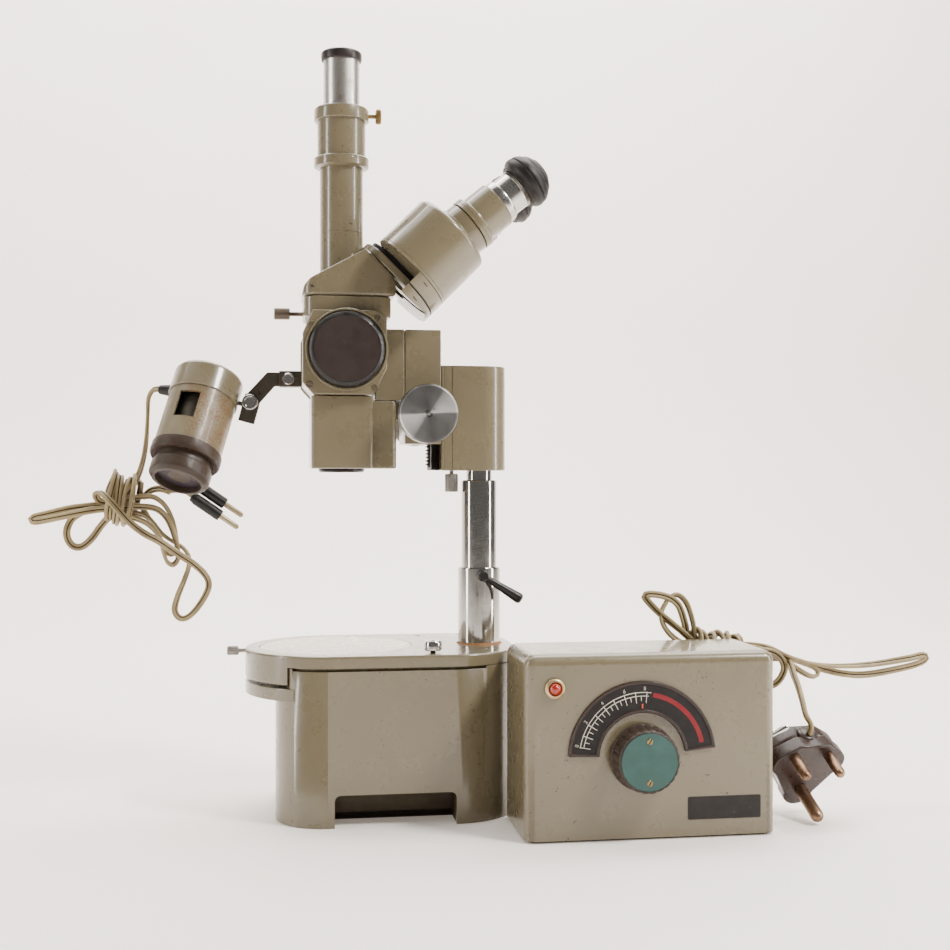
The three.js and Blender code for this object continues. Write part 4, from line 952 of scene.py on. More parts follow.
AXIS_X = 4
ZOOM_X, ZOOM_Z, ZOOM_RADIUS = 5.7, 317.5, 25.4
OCTAGON = [(-17, 287), (24, 287), (33, 305), (33, 340.4), (25, 344.4), (-17, 344.4), (-24, 328.4),
        (-24, 295)]
INNER_OCTAGON = [(-16, 287.4), (23.4, 287.4), (32.2, 305.2), (32.2, 340), (24.6, 343.9), (-16.4, 343.9),
        (-23, 328.2), (-23, 295.4)]
PLATE_FACE = 38
PLATE_SCREWS = ((-17.6, 333.6), (26.4, 339.2), (24.6, 291.6), (-19.5, 293.6))
DISC_RADIUS, DISC_DEPTH = 22.1, 44.7


def make_zoom_body():
    core = across("zoom_core", INNER_OCTAGON, -35.6, 35.6)
    collar = soften(prism("zoom_collar", ends_outline(-23, 37, 30, 10, 10, 10), 341, 355), 1.2, 4)
    bracket = soften(block("zoom_bracket", (26, -22, 284.3), (46.4, 22, 333.4)), 0.8, 3)
    body = fuse(core, collar, bracket)
    rim_profile = [(26.2, -1), (28, -1), (28, 1.6), (27.6, 2), (26.6, 2), (26.2, 1.6)]
    for side, facing in ((-1, near_y), (1, far_y)):
        plate = across("zoom_plate", OCTAGON, *sorted((side * 35, side * PLATE_FACE)))
        rim = lathe("zoom_rim", rim_profile, 128, facing(ZOOM_X, side * PLATE_FACE, ZOOM_Z))
        fuse(body, soften(plate, 0.9, 3), rim)
    carve(body, round_bar("drum_space", 22.6, -33, 33, 96, near_y(ZOOM_X, 0, ZOOM_Z)),
            round_bar("drum_bore", 5.4, -45, 45, 48, near_y(ZOOM_X, 0, ZOOM_Z)),
            round_bar("head_seat", 21, 347, 360, 96, upright(AXIS_X, 0)))
    show(soften(body, 0), "focus", ENAMEL, "enamel", "zoom_body")


def make_zoom_knobs():
    for side, facing, label in ((-1, near_y, "near"), (1, far_y, "far")):
        for i, (x, z) in enumerate(PLATE_SCREWS):
            screw = slotted_screw("plate_screw", facing(x, side * (PLATE_FACE - 0.4), z), 2.6, 25 + 47 * i,
                    0.7)
            show(screw, "focus", ENAMEL_DARK, "enamel")
        rim = [(5.3, 38.4)] + [(ZOOM_RADIUS - inset, height) for inset,
                height in ((0.6, 38.4), (0, 39), (0, 43.0), (0.4, 43.6), (2.6, 45.1), (3.1, 45.15),
                (3.5, 44.9))]
        knob = lathe("zoom_knob", rim + [(0, 44.9), (0, 44.3), (5.3, 44.3)], 180)
        moved(soften(knob, 0), facing(ZOOM_X, 0, ZOOM_Z))
        painted(painted(knob, BLACK_GLOSS), DISC_FACE)
        for polygon in knob.data.polygons:
            centre = polygon.center / MM
            off_axis = math.hypot(centre.x - ZOOM_X, centre.z - ZOOM_Z)
            polygon.material_index = int(off_axis < DISC_RADIUS and abs(centre.y) > DISC_DEPTH)
        show(knob, "zoom", None, "black", f"zoom_knob_{label}")


def make_lens_block():
    front = soften(prism("lens_front", ends_outline(-18, 24, 33, 3, 3, 5), 237, 286.7), 1.1, 3)
    rear = soften(prism("lens_rear", ends_outline(10, 41, 22, 5, 4, 6), 237, 284), 1.1, 3)
    body = carve(fuse(front, rear), prism("lens_hollow", ends_outline(-13, 20, 26, 5, 5), 242, 290),
            round_bar("lens_bore", 16.3, 230, 250, 64, upright(AXIS_X, 0)))
    show(soften(body, 0), "focus", ENAMEL, "enamel", "lens_block")
    turned("objective_mount", [(0, 236.2), (6, 236.5), (12.3, 237.5), (12.3, 234.9), (12.7, 234.5),
            (15, 234.5), (16, 235.5), (16, 241.5), (0, 241.5)], 96, upright(AXIS_X, 0), "focus",
            BLACK_GLOSS, "black", "objective")
    place = along_x(-21.5, 0, 345.2, -1)
    head = knurled_screw("clamp_head", place, 1.2, 10.5, 4, 11, 32)
    thread = threaded("clamp_thread", place, 1.6, 10.4)
    show(merge("head_screw", head, thread), "head_clamp", STEEL_WARM, "steel", "head_clamp_screw")


make_zoom_body()
make_zoom_knobs()
make_lens_block()


# ---------------------------------------------------------------- head and photo tube

PHOTO_SCREW_Z = 485.5


def make_head():
    profile = [(-24.5, 355.3), (39.5, 355.3), (40.5, 361), (38.5, 369), (19.5, 388), (-13.5, 370),
            (-18.5, 367.3), (-22.8, 362.5)]
    body = across("head_body", profile, -30, 30)
    plan = prism("head_plan", ends_outline(-24.5, 41, 30, 10, 8, 10), 350, 395)
    cast(carve(body, plan, operation="INTERSECT"), 0.8, 16)
    fuse(body, round_bar("head_foot", 20.4, 348, 357, 96, upright(AXIS_X, 0)))
    carve(body, round_bar("head_bore", 17, 340, 364, 64, upright(AXIS_X, 0)),
            round_bar("tube_bore", 15.4, 360, 400, 64, upright(AXIS_X, 0)))
    show(soften(body, 0), "head", ENAMEL, "enamel", "head_housing")
    show(slotted_screw("head_screw_small", near_y(-17.2, -29.9, 361.2), 1.5, 10, 0.2), "head", STEEL_WARM,
            "steel")


def make_photo_tube():
    place = upright(AXIS_X, 0)
    tube = lathe("photo_tube_body", [(13, 371), (15.1, 371), (15.1, 401.8), (14.85, 402), (15.1, 402.2),
            (15.1, 447.4), (17.6, 447.5), (19.2, 448.6), (19.2, 452.8), (18.95, 453.1), (19.2, 453.4),
            (19.2, 454.2), (18.4, 455), (16.9, 455), (16.9, 480.6), (18.6, 480.6), (19.2, 481.3),
            (19.2, 488.3), (18.2, 489.5), (13.6, 489.5), (13, 489)], 128, place)
    carve(tube, round_bar("screw_bore", 1.9, 10, 25, 24, along_x(AXIS_X, 0, PHOTO_SCREW_Z)))
    show(soften(tube, 0), "head", ENAMEL_WORN, "enamel", "photo_tube")
    turned("draw_tube", [(11.2, 440), (12.7, 440), (12.7, 525), (12.4, 525.3), (11.2, 525.3)], 96, place,
            "photo_draw", DRAW_CHROME, "chrome", "photo_draw_tube")
    turned("draw_cap", [(0, 525.7), (13, 525.6), (13, 523), (13.6, 523), (14.0, 523.4), (14.3, 525.3),
            (14.3, 528), (14.0, 528.8), (13.2, 529.5), (12.4, 529.6), (0, 529.6)], 96, place, "photo_cap",
            CAP_BLACK, "black", "photo_cap")
    screw = knurled_screw("photo_screw", along_x(AXIS_X + 13.5, 0, PHOTO_SCREW_Z), 1.5, 10.5, 5.2, 3.8, 30)
    show(screw, "photo_clamp", BRASS, "brass", "photo_clamp_screw")


make_head()
make_photo_tube()


# ---------------------------------------------------------------- binocular

HOUSING_Y = 30.3
EYE_SHIFT = 4.3
EYE_TILT = 5.8
PATH_Y, PATH_RADIUS = 12, 8
SKIRT_CUT_X = 4.8
COLLAR_SWEEP, PLATE_SWEEP = 41.2, 48.8
TUBE_FRAME = upright(50, 0, 371.4) @ Matrix.Rotation(math.pi / 4, 4, "Y")


def tube_space():
    """The photo tube's room, cut out of whatever stands behind it."""
    return round_bar("tube_space", 15.6, 350, 420, 64, upright(AXIS_X, 0))


def make_skirt_marks():
    # A dark band in the skirt's groove: painted shade in the gap between the two segments.
    groove = lathe("skirt_groove", [(28.4, -11.1), (29.62, -11.1), (29.62, -10.35), (28.4, -10.35)], 128,
            upright(0, -HOUSING_Y))
    carve(groove, block("groove_side", (-40, -WIDE, -25), (5, WIDE, 5)))
    show(moved(groove, TUBE_FRAME), "head", DARK, "black")
    for along, around, radius in ((-3.2, 13.3, 30), (-14.8, 15.0, 29.5)):
        turn = math.asin(around / radius)
        spot = TUBE_FRAME @ upright(radius * math.sin(turn), -HOUSING_Y - radius * math.cos(turn), along)
        mark = block("index_mark", (-2.2, -0.12, -0.3), (2.2, 0.12, 0.3),
                spot @ Matrix.Rotation(turn, 4, "Z"))
        show(mark, "head", DARK, "black")


def make_carrier():
    body = soften(prism("carrier_lower", ends_outline(-36.5, 27, 30, 22, 22), -9.5, -4), 0.8, 3)
    # The throat is black: painted shade in the deep gap between the head and the prism housings.
    throat = prism("carrier_throat", ends_outline(-33.5, 24, 27, 20, 20), -5, -0.3)
    for side, foot in ((-1, -18.6), (1, -12.0)):
        skirt = lathe("carrier_skirt", [(0, foot), (29.2, foot), (29.5, foot + 0.3), (29.5, -11.2),
                (28.9, -10.9), (28.9, -10.3), (30, -10), (30, -0.5), (29.8, -0.3), (0, -0.3)], 128,
                upright(0, side * HOUSING_Y))
        slope = upright(0, side * 60.3, -18.7) @ Matrix.Rotation(side * math.radians(-13), 4, "X")
        carve(skirt, block("skirt_side", (-40, -WIDE, -25), (SKIRT_CUT_X, WIDE, 5)),
                block("skirt_ramp", (-40, -70, -30), (40, 70, 0), slope))
        if side > 0:
            carve(skirt, block("far_skirt_end", (-40, -WIDE, -25), (40, WIDE, -7)))
        fuse(body, skirt)
    for y in (-PATH_Y, PATH_Y):
        for part in (body, throat):
            carve(part, round_bar("light_path", PATH_RADIUS, -20, 5, 48, upright(0, y)))
    carve(moved(throat, TUBE_FRAME), tube_space())
    show(soften(throat, 0), "head", BLACK, "black")
    carve(moved(body, TUBE_FRAME),
            round_bar("collar_sweep", COLLAR_SWEEP, 330, 355.3, 96, upright(AXIS_X, 0)),
            round_bar("plate_sweep", PLATE_SWEEP, 330, 344.7, 96, upright(AXIS_X, 0)), tube_space())
    show(soften(body, 0), "head", ENAMEL, "enamel", "binocular_carrier")


def rubber_sag(x, y, z):
    """How far an old eyecup has drawn in, at a point on it."""
    lobes = max(0.0, math.sin(2 * math.atan2(y, x) + 0.7 + 0.1 * z))
    return 1 - 0.018 * lobes * min(1, max(0, (z - 57) / 6))


def make_eye(side, label):
    unit = TUBE_FRAME @ upright(0, side * HOUSING_Y)
    eye = upright(EYE_SHIFT, 0, 41.3) @ Matrix.Rotation(math.radians(EYE_TILT), 4, "Y")
    place = unit @ eye
    shell = lathe("prism_shell", [(0, 0), (29.8, 0), (30, 0.2), (30, 1.9), (29.75, 2.1), (30, 2.3),
            (30, 37.3), (29.7, 38.9), (28.8, 40.1), (27.6, 40.8), (26, 41.3), (0, 41.3)], 160)
    fuse(shell, lathe("eye_sleeve", [(13.9, -2.5), (20.4, -2.5), (20.4, 1.7), (20, 2.2), (18.4, 2.4),
            (18.4, 10.2), (17.9, 10.7), (13.9, 10.7)], 96, eye))
    carve(shell, round_bar("light_in", PATH_RADIUS, -1, 10, 48, upright(0, -side * PATH_Y)),
            round_bar("light_out", PATH_RADIUS, 25, 50, 48, upright(EYE_SHIFT, 0)))
    show(moved(soften(shell, 0), unit), f"{label}_eye", ENAMEL, "enamel", f"{label}_prism_housing")
    for turn in (55, 175, 295):
        x, y = arc(0, 0, 19.4, turn, turn, 1)[0]
        spot = place @ upright(x, y, 2.0)
        show(slotted_screw("flange_screw", spot, 0.9, turn, 0.3), f"{label}_eye", STEEL, "steel")
    turned("dioptre_body", [(13.9, 11), (18.6, 11), (19, 11.4), (19, 13.4), (18.75, 13.6), (19, 13.8),
            (19, 16.2), (18.6, 16.6), (16.8, 17.6), (16.5, 18), (16.5, 35.1), (16, 35.6), (13.9, 35.6)], 96,
            place, f"{label}_dioptre", ENAMEL, "enamel", f"{label}_dioptre_ring")
    turned("ocular_tube", [(0, 20), (13.4, 20), (13.4, 36), (15, 36), (15.3, 36.3), (15.3, 40.2),
            (14.5, 41.5), (13.6, 41.5), (13.6, 66), (0, 66)], 96, place, f"{label}_ocular", EYE_CHROME,
            "chrome", f"{label}_eyepiece")
    grip = lathe("ocular_grip", [(13.55, 51.6), (14.0, 51.9), (14.0, 54.2), (13.55, 54.4)], 160)
    press_in(grip, 0.975, lambda off, turn, z: off > 13.8 and round(turn * 160) % 2)
    show(moved(soften(grip, 0), place), f"{label}_ocular", STEEL, "steel")
    cup = lathe("eye_cup", [(13.9, 54.5), (16.0, 54.5), (16.4, 54.9), (16.7, 56.4), (18.2, 57.6),
            (19, 59.0), (19.3, 60.6), (19.2, 62), (18.6, 62.5), (18.4, 63.0), (18.9, 63.5), (18.9, 64.5),
            (18.2, 66.2), (17.1, 68), (16.2, 68.8), (15.6, 69.0), (15.4, 69.4), (14.6, 71.1), (13.3, 72.2),
            (12.2, 72.7), (11.7, 72.8), (11.2, 73.5), (10.3, 74.0), (8.9, 75.0), (7.5, 75.3), (6.4, 75.0),
            (6, 74.5), (6, 66.3), (13.9, 66.3)], 96)
    press_in(cup, rubber_sag, lambda off, turn, z: True)
    show(moved(soften(cup, 0), place), f"{label}_ocular", RUBBER, "rubber", f"{label}_eyecup")


make_carrier()
make_skirt_marks()
make_eye(-1, "near")
make_eye(1, "far")


# ---------------------------------------------------------------- lamp and its arm

LINK_X, LINK_Z = -33.2, 298.8
PLATE_X, PLATE_Z = -59.4, 282.9
PIN_BORE = 2.1
LAMP_CENTRE = (-87, 6, 301)
STUD_Z = -14
PIN_PLUGS = {"upper": (-96.4, 6, 226), "lower": (-99.5, 3, 217.8)}
PLUG_TILT = 0.609
WIRE_START = [(-118, 16.2, 222), (-114.5, 14.8, 221)]
WIRE_BENDS = {
    "upper": [(-110, 11.2, 223.6), (-105, 8, 226.5)],
    "lower": [(-110, 11.2, 221.4), (-106.5, 6, 221.5)],
}


def lamp_frame():
    """The lamp's own frame: its axis points down through the barrel along -Z."""
    x, y = Vector((0.9655, 0, -0.2605)).normalized(), Vector((-0.1134, 0.900, -0.42))
    z = x.cross(y).normalized()
    return Matrix.Translation(LAMP_CENTRE) @ Matrix((x, z.cross(x), z)).transposed().to_4x4()


LAMP = lamp_frame()


def make_lamp_arm():
    link_place, plate_place = near_y(LINK_X, 0, LINK_Z), near_y(PLATE_X, 0, PLATE_Z)
    bracket = block("bracket_body", (-39.5, -13.5, 293.6), (-24.3, -1.5, 304.4))
    carve(bracket, block("bracket_slot", (-42, -9.8, 290), (-27, -5.2, 310)),
            round_bar("bracket_bore", PIN_BORE, 0, 15, 32, link_place))
    show(soften(bracket, 0.5, 2), "focus", OLIVE_BLACK, "black", "lamp_bracket")
    half = 4.8
    outline = (arc(LINK_X, LINK_Z, half, -90, 90, 12) + [(-47.6, LINK_Z + half)]
            + arc(PLATE_X, PLATE_Z, half + 0.6, 135, 315, 16) + [(-42.5, LINK_Z - half)])
    link = carve(across("link_body", outline, -9.5, -5.5),
            round_bar("link_bore", PIN_BORE, 0, 15, 32, plate_place))
    pin = lathe("link_pin", [(0, 1.8), (1.7, 1.8), (1.7, 13.8), (3.8, 13.8), (4.1, 14.1), (4.1, 15.9),
            (3.5, 16.5), (3.0, 16.5), (2.8, 15.9), (0, 15.9)], 48, link_place)
    parts = painted(soften(link, 0.4, 2), OLIVE_BLACK), painted(pin, CHROME)
    show(merge("lamp_link_piece", *parts), "lamp_link", None, "black", "lamp_link")
    screw = knurled_screw("joint_screw", plate_place, 1.7, 9.9, 5.5, 3.7, 30, True)
    show(screw, "lamp_joint_screw", CHROME, "chrome", "lamp_joint_screw")
    swivel = upright(-90.28, -0.09, 288.83) @ Matrix.Rotation(math.radians(15.1), 4, "Y")
    pivot = swivel.inverted() @ Vector((PLATE_X, 0, PLATE_Z))
    plate = block("plate_body", (26.6, -4.81, pivot.z - 14), (38, -0.51, pivot.z + 5.4))
    carve(plate, round_bar("plate_bore", PIN_BORE, -5, 15, 32, near_y(pivot.x, 0, pivot.z)))
    fuse(plate, round_bar("plate_stud", 1.6, 22.4, 28, 32, along_x(0, 0, 0)))
    show(moved(soften(plate, 0.4, 2), swivel), "lamp_plate", OLIVE_BLACK, "black", "lamp_plate")


def make_lamp_head():
    cap = lathe("cap_body", [(0, -2.2), (21.8, -2.2), (21.8, -20), (23.6, -20), (24, -19.6), (24, -3.6),
            (23.8, -2.4), (22.9, -1.0), (21.4, -0.2), (20.6, -0.2), (20.2, 0), (0, 0)], 128)
    carve(cap, round_bar("stud_hole", 2.2, 20, 27, 32, along_x(0, 0, STUD_Z)))
    show(moved(soften(cap, 0), LAMP), "lamp", ENAMEL, "enamel", "lamp_cap")
    out = upright(0, 0, STUD_Z) @ Matrix.Rotation(-0.35, 4, "Z") @ Matrix.Rotation(-math.pi / 2, 4, "Y")
    turned("cap_grommet", [(0, 22.5), (4.6, 22.5), (4.6, 24.2), (4.2, 24.8), (4.0, 27), (3.2, 33),
            (2.6, 33), (0, 32.6)], 48, LAMP @ out, "lamp", BLACK, "black")
    shade = lathe("lamp_shade", [(21, -20.3), (21, -60), (21.4, -60.3), (23, -60.3), (23, -20.3)], 128)
    window_turn = Matrix.Rotation(math.radians(-22), 4, "Z")
    window = block("window", (-7.4, -30, -45.5), (7.4, -14, -25.5), window_turn)
    band = lathe("lamp_band", [(19.6, -60.35), (23.6, -60.35), (24, -60.8), (24, -66.8), (23, -68.2),
            (19.6, -68.2)], 128)
    parts = painted(soften(carve(shade, window), 0), ENAMEL_RUSTED), painted(soften(band, 0), BROWN)
    show(moved(merge("lamp_shell", *parts), LAMP), "lamp", None, "enamel", "lamp_housing")
    inner = lathe("lamp_inner", [(12.5, -20.5), (17.2, -20.5), (17.2, -58), (16.4, -58), (12.5, -57)], 96,
            LAMP)
    show(inner, "lamp", GREY_STEEL, "steel")
    barrel = [(0, -77), (17, -75.5), (17, -58), (19.2, -58), (19.2, -73), (20.2, -73.6), (20.6, -74.2),
            (20.6, -80.9), (20.2, -81.7), (18.4, -83.6), (17.6, -84), (15.8, -84), (15.5, -83.6),
            (15.5, -79.5), (0, -80.7)]
    turned("barrel_body", barrel[::-1], 128, LAMP, "lamp_barrel", BARREL, "brown", "lamp_focus_barrel")
    turned("lamp_lens", [(0, -80.3), (15.4, -79.9), (15.4, -79.4), (0, -79.4)], 96, LAMP, "lamp_barrel",
            LENS, "black")


def make_pin_plugs():
    for name, place in PIN_PLUGS.items():
        shell = lathe("plug_shell", [(0, 0), (2.6, 0), (3.2, 0.6), (3.6, 2.2), (4, 4), (4, 22.6), (3.6, 24),
                (0, 24)], 48)
        pin = lathe("plug_pin", [(0, 23), (2, 23), (2, 34), (1.9, 37.4), (1.2, 38.6), (0, 39)], 48)
        whole = merge(f"pin_plug_piece_{name}", painted(soften(shell, 0), BLACK),
                painted(soften(pin, 0), PLUG_PINS))
        show(moved(whole, leaning(place, PLUG_TILT)), "lamp", None, "black", f"pin_plug_{name}")
    for name, place in PIN_PLUGS.items():
        back = Vector(place) - Vector((0.82, 0, -0.572)) * 4
        path = smooth_path([*WIRE_START, *WIRE_BENDS[name], back, place], 1.0)
        wire = sweep(f"plug_wire_{name}", path, arc(0, 0, WIRE_RADIUS, 0, 324, 9))
        show(wire, "lamp", FLEX, "flex")


make_lamp_arm()
make_lamp_head()
make_pin_plugs()


# ---------------------------------------------------------------- transformer

BOX = ((113, -119, 1.5), (278, -47, 119))
CASE_WALL = 4
DIAL_X, DIAL_Z = 188.7, 53.3
DIAL_FRAME = near_y(DIAL_X, 0, DIAL_Z)
PILOT_FRAME = near_y(132, 0, 97.9)
TOGGLE_Y, TOGGLE_Z = -97, 57.7
GLAND_X, GLAND_Z = 250, 60
PRINT, PRINT_TOP = 120.3, 120.36
SCALE_ZERO = 170
FLUTES, FLUTE_SIDES = 24, 24 * 6
DIGITS = {
    "0": [(0, 0), (2, 0), (2, 4), (0, 4), (0, 0)],
    "2": [(0, 4), (2, 4), (2, 2), (0, 0), (2, 0)],
    "4": [(1.5, 0), (1.5, 4), (0, 1.3), (2.2, 1.3)],
    "6": [(2, 4), (0, 2), (0, 0), (2, 0), (2, 2), (0, 2)],
    "8": [(0, 0), (2, 0), (2, 4), (0, 4), (0, 0)],
}
DIGIT_PLACES = (("0", 169), ("2", 148), ("4", 127), ("6", 106), ("8", 88))


def make_case():
    (x0, y0, z0), (x1, y1, z1) = BOX
    body = soften(block("case_body", (x0, y0, z0 - 20), (x1, y1, z1)), 7, 8)
    carve(body, block("case_foot", (x0 - 5, y0 - 5, -30), (x1 + 5, y1 + 5, z0)),
            block("case_hollow", (x0 + CASE_WALL, y0 + CASE_WALL, -1),
                  (x1 - CASE_WALL, y1 - CASE_WALL, z1 - CASE_WALL)),
            round_bar("shaft_hole", 4.4, 110, 125, 32, DIAL_FRAME),
            round_bar("pilot_hole", 4.4, 110, 125, 32, PILOT_FRAME),
            round_bar("toggle_hole", 3.4, 270, 285, 32, along_x(0, TOGGLE_Y, TOGGLE_Z)),
            round_bar("cord_hole", 5.2, -5, 5, 32, far_y(GLAND_X, y1, GLAND_Z)))
    for start, end in ((127, 172), (232, 268)):
        seam = block("case_seam", (start, -110.6, z1 - 0.1), (end, -110.2, z1 + 0.03))
        show(seam, "base", DARK, "black")
    show(soften(body, 0), "base", ENAMEL_CHIPPED, "enamel", "transformer_case")
    turned("toggle_bush", [(3.4, -1), (6, -1), (6, 0.6), (5, 0.8), (5, 3), (3.4, 3)], 48,
            along_x(x1, TOGGLE_Y, TOGGLE_Z), "base", CHROME, "chrome")
    plate = prism("blank_label", rounded_outline(219, 267.5, 12, 26.6, 0.8, 3), 0, 0.35, near_y(0, y0, 0))
    show(soften(plate, 0.1, 1), "base", LABEL_BLACK, "black")


def ring_part(name, radii, angles, look=None, heights=(PRINT, PRINT_TOP), steps=72):
    """Part of a flat ring about the dial's centre, its angles from +X towards +Z."""
    outline = arc(0, 0, radii[1], *angles, steps) + arc(0, 0, radii[0], *reversed(angles), steps)
    piece = prism(name, outline, *heights, DIAL_FRAME)
    return painted(piece, look) if look else piece


def make_dial():
    bezel = [soften(ring_part("dial_bezel", (28, 48.3), (7.6, 176.4), heights=(119.3, 120.2)), 0.25, 2)]
    raised, whole = (119.3, 120.8), (5.6, 178.4)
    edges = [ring_part("bezel_outer", (46.2, 48.3), whole, heights=raised),
            ring_part("bezel_inner", (28, 30.2), whole, heights=raised)]
    edges += [ring_part("bezel_end", (28.6, 47.6), (a, a + 2.6),
            heights=raised, steps=4) for a in (5.6, 175.8)]
    bezel += [soften(edge, 0.5, 3) for edge in edges]
    face = ring_part("dial_face", (30, 46.4), (8, 176), DIAL_BLACK, (120.15, PRINT))
    parts = [painted(part, BEZEL) for part in bezel] + [face]
    show(merge("dial_plate", *parts), "base", None, "black", "dial_scale")
    lines = [ring_part("scale_line", (40.9, 41.3), (82, SCALE_ZERO), WHITE),
            ring_part("scale_line", (38.6, 39.0), (84, SCALE_ZERO), WHITE)]
    for i in range(17):
        angle = SCALE_ZERO - i * 5.25
        radii = (35.6, 39) if i % 2 else (34.4, 41.6)
        lines.append(ring_part("tick", radii, (angle - 0.28, angle + 0.28), WHITE, steps=1))
    show(merge("dial_marks", *lines), "base", None, "black")
    show(ring_part("dial_band", (38.4, 41.4), (12, 80)), "base", RED, "black")
    show(ring_part("dial_index", (31.0, 33.8), (89.2, 90.8), heights=(PRINT, 120.4), steps=1), "base",
            ORANGE, "black")


def make_numbers():
    """Generic numerals, as strokes on a grid two wide and four high."""
    strokes = []
    for digit, angle in DIGIT_PLACES:
        place = DIAL_FRAME @ Matrix.Rotation(math.radians(angle - 90), 4, "Z") @ upright(-0.5, 42.6)
        corners = [Vector((*point, 0)) * 0.5 for point in DIGITS[digit]]
        pairs = list(zip(corners, corners[1:]))
        if digit == "8":
            pairs.append((Vector((0, 1, 0)), Vector((1, 1, 0))))
        for first, second in pairs:
            along = (second - first).normalized() * 0.1
            side = Vector((-along.y, along.x, 0))
            outline = [first - along - side, second + along - side, second + along + side, first - along
                    + side]
            strokes.append(painted(prism("stroke", [(c.x, c.y) for c in outline], PRINT, PRINT_TOP, place),
                    WHITE))
    show(merge("dial_numbers", *strokes), "base", None, "black")


def flute_depth(x, y, z):
    """The scallops round the dial knob's grip."""
    return 1 - 0.028 * max(0.0, math.cos(FLUTES * math.atan2(y, x))) ** 2


def make_dial_knob():
    body = lathe("knob_body", [(0, 116.8), (3.6, 116.8), (3.6, 121.2), (21.3, 121.2), (21.5, 121.5),
            (21.5, 122.6), (20.9, 123.2), (20.6, 125), (20.2, 135.0), (19.6, 136.6), (18.9, 137.2),
            (18.4, 137.2), (18.3, 136.8), (0, 136.8)], FLUTE_SIDES)
    press_in(body, flute_depth, lambda off, turn, z: off > 18.7 and z > 122.9)
    show(moved(soften(body, 0), DIAL_FRAME), "dial", KNOB_BROWN, "bakelite", "dial_knob")
    turned("knob_face", [(0, 136.7), (18.2, 136.7), (18.2, 137.1), (17.9, 137.4), (0, 137.4)], 96,
            DIAL_FRAME, "dial", TEAL, "enamel")
    for z in (-13, 13):
        screw = slotted_screw("knob_screw", near_y(DIAL_X, -137.35, DIAL_Z + z), 2.0, 60, 0.5)
        show(screw, "dial", BRASS, "brass")


def make_pilot():
    turned("pilot_ring", [(0, 112), (3.9, 112), (3.9, 119.3), (6.4, 119.3), (6.6, 119.6), (6.6, 120.3),
            (6.2, 121.2), (5.4, 121.8), (4.6, 121.8), (4.1, 121.2), (4, 120.4), (0, 120.4)], 64,
            PILOT_FRAME, "base", CREAM_BRASS, "brass", "pilot_lamp")
    turned("pilot_jewel", [(0, 120.3), (4, 120.3), (3.7, 121.6), (2.6, 122.9), (1.3, 123.7), (0, 124)], 48,
            PILOT_FRAME, "base", JEWEL, "bakelite")


def make_toggle_and_gland():
    turned("toggle_lever", [(0, 0.5), (1.6, 0.5), (1.7, 5), (2.2, 13), (2.4, 15.6), (2.2, 16.9),
            (1.5, 17.6), (0, 17.8)], 48, leaning((BOX[1][0] + 1, TOGGLE_Y, TOGGLE_Z), -0.47), "switch",
            CHROME, "chrome", "switch_lever")
    turned("gland_body", [(3.6, -8), (5, -8), (5, 0.3), (6.6, 0.3), (7, 0.7), (7, 2.4), (6.6, 3), (5, 4.5),
            (4.8, 5.4), (5.0, 6), (4.7, 7.2), (4.9, 8), (4.5, 9.4), (4.7, 10.2), (4.4, 12), (3.6, 12)], 64,
            far_y(GLAND_X, BOX[1][1], GLAND_Z), "base", BLACK, "black", "cord_gland")


def plug_outline(grow):
    """The mains plug's rounded three-cornered outline, with straight sides between its corners."""
    return ([(11 + grow, 22 + grow), (-11 - grow, 22 + grow)] + arc(-17, 6, 10 + grow, 123, 237, 12)
            + arc(0, -20, 11 + grow, 180, 360, 14) + arc(17, 6, 10 + grow, -57, 57, 12))


def make_mains_plug():
    pins = Vector((0.125, -0.839, -0.53)).normalized()
    up = (Vector((0, 0, 1)) - pins * pins.z).normalized()
    facing = Matrix((up.cross(-pins), up, -pins)).transposed().to_4x4()
    place = Matrix.Translation(Vector((314.4, -102.5, 4.4)) - facing @ Vector((0, -16, -28.6))) @ facing
    parts = [soften(prism("plug_base", plug_outline(0), 0, 11), 1.4, 3),
            soften(prism("plug_cover", plug_outline(-1.2), 10.6, 24), 3.4, 4, 50),
            lathe("plug_throat", [(0, -4), (7.6, -4), (7.2, 2), (6.0, 3.2), (4.2, 3.6), (0, 3.6)],
            48, far_y(0, 19.5, 13))]
    parts = [painted(soften(part, 0), BAKELITE) for part in parts]
    for x, y, radius, length in ((-12.7, 12.6, 3.5, 18.6), (12.7, 12.6, 3.5, 18.6), (0, -16, 4.35, 28.6)):
        pin = lathe("plug_pin", [(0, -length), (radius * 0.55, -length),
                (radius * 0.88, -length + radius * 0.35), (radius, -length + radius * 0.9), (radius, 1),
                (0, 1)], 64, upright(x, y))
        parts.append(painted(soften(pin, 0), PINS))
    show(moved(merge("mains_plug_piece", *parts), place), "base", None, "bakelite", "mains_plug")
    screw = slotted_screw("plug_screw", place @ upright(0, -6, 24), 3.2, 30, -0.1)
    show(screw, "base", BRASS, "brass")


make_case()
make_dial()
make_numbers()
make_dial_knob()
make_pilot()
make_toggle_and_gland()
make_mains_plug()


# ---------------------------------------------------------------- CAD pieces kept as they are

KEPT = {
    "focus_rack": (BLACK, "black"),
    "focus_pinion_shaft": (STEEL, "steel"),
    "zoom_drum": (BLACK, "black"),
    "transformer_chassis": (DARK, "black"),
    "lamp_bulb_holder": (GREY_STEEL, "steel"),
}
for kept_name, (kept_look, kept_slot) in KEPT.items():
    kept = frame["nodes"][kept_name]
    kept.data.materials.clear()
    kept.data.materials.append(kept_look)
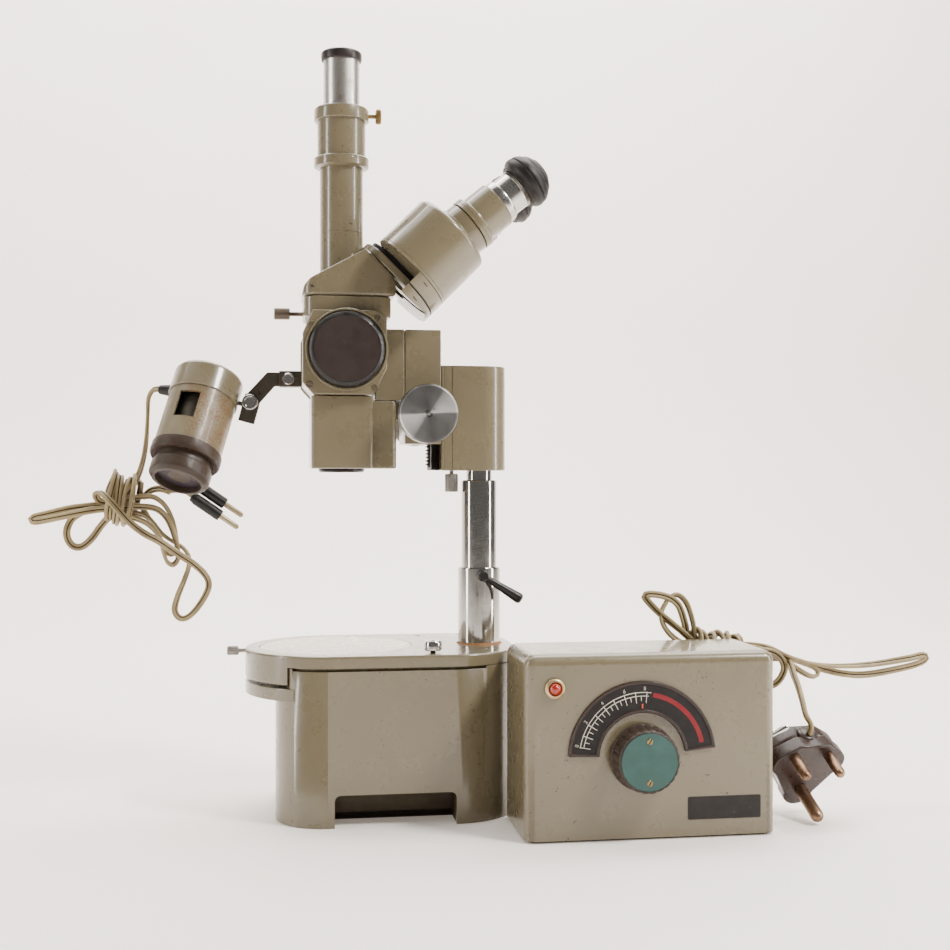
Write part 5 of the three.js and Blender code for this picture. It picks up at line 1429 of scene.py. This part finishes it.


# ---------------------------------------------------------------- bench, light and world

def backdrop_material():
    """A matt white sheet with the faintest cloudiness."""
    look = Look("backdrop", srgb(246, 240, 236), 0.6)
    look.colour(look.mix(look.ramp(look.noise(160, 3), (0.3, 0.0), (0.7, 1.0)), srgb(244, 238, 234),
            srgb(248, 243, 239)))
    look.bump(look.noise(30, 2), 0.02, 0.05)
    look.shader.inputs["Emission Color"].default_value = (1.0, 0.88, 0.76, 1)
    look.shader.inputs["Emission Strength"].default_value = 0.2
    return look.material


def make_bench():
    """A floor that sweeps up into a wall behind the object."""
    half, front, bend, sweep_start, top = 2600, -1600, 500, 900, 1900
    section = [(front, 0), *arc(sweep_start, bend, bend, -90, 0), (sweep_start + bend, top)]
    points = [(x, y, z) for x in (-half, half) for y, z in section]
    count = len(section)
    faces = [(count + i, count + i + 1, i + 1, i) for i in range(count - 1)]
    floor = mesh_object("bench", points, faces)
    floor.data.shade_smooth()
    floor.data.materials.append(backdrop_material())


def soft_light(name, place, aim, width, height, watts, colour=(1, 1, 1)):
    data = bpy.data.lights.new(name, "AREA")
    data.shape = "RECTANGLE"
    data.size, data.size_y = width, height
    data.energy = watts
    data.color = colour
    lamp = bpy.data.objects.new(name, data)
    lamp.location = place
    lamp.rotation_euler = (Vector(aim) - Vector(place)).to_track_quat("-Z", "Y").to_euler()
    bpy.context.scene.collection.objects.link(lamp)


make_bench()
soft_light("key", (1.0, -0.75, 1.4), (0.05, -0.05, 0.22), 0.3, 0.3, 34, (1.0, 0.96, 0.90))
soft_light("overhead", (0.0, 0.5, 1.9), (0.05, 0.15, 0.2), 2.2, 1.3, 50, (1.0, 0.97, 0.93))
soft_light("left_panel", (-1.2, -0.3, 0.5), (0.0, 0.0, 0.25), 0.12, 1.0, 9, (1.0, 0.98, 0.95))
soft_light("right_panel", (1.3, -0.45, 0.5), (0.0, 0.0, 0.25), 0.12, 1.0, 12, (1.0, 0.98, 0.95))
soft_light("wall_wash", (0.1, 0.5, 1.7), (0.1, 1.4, 0.5), 3.0, 0.7, 62, (1.0, 0.95, 0.90))

world = bpy.data.worlds.new("world")
world.use_nodes = True
world.node_tree.nodes["Background"].inputs["Color"].default_value = (0.94, 0.89, 0.84, 1)
world.node_tree.nodes["Background"].inputs["Strength"].default_value = 0.2
bpy.context.scene.world = world
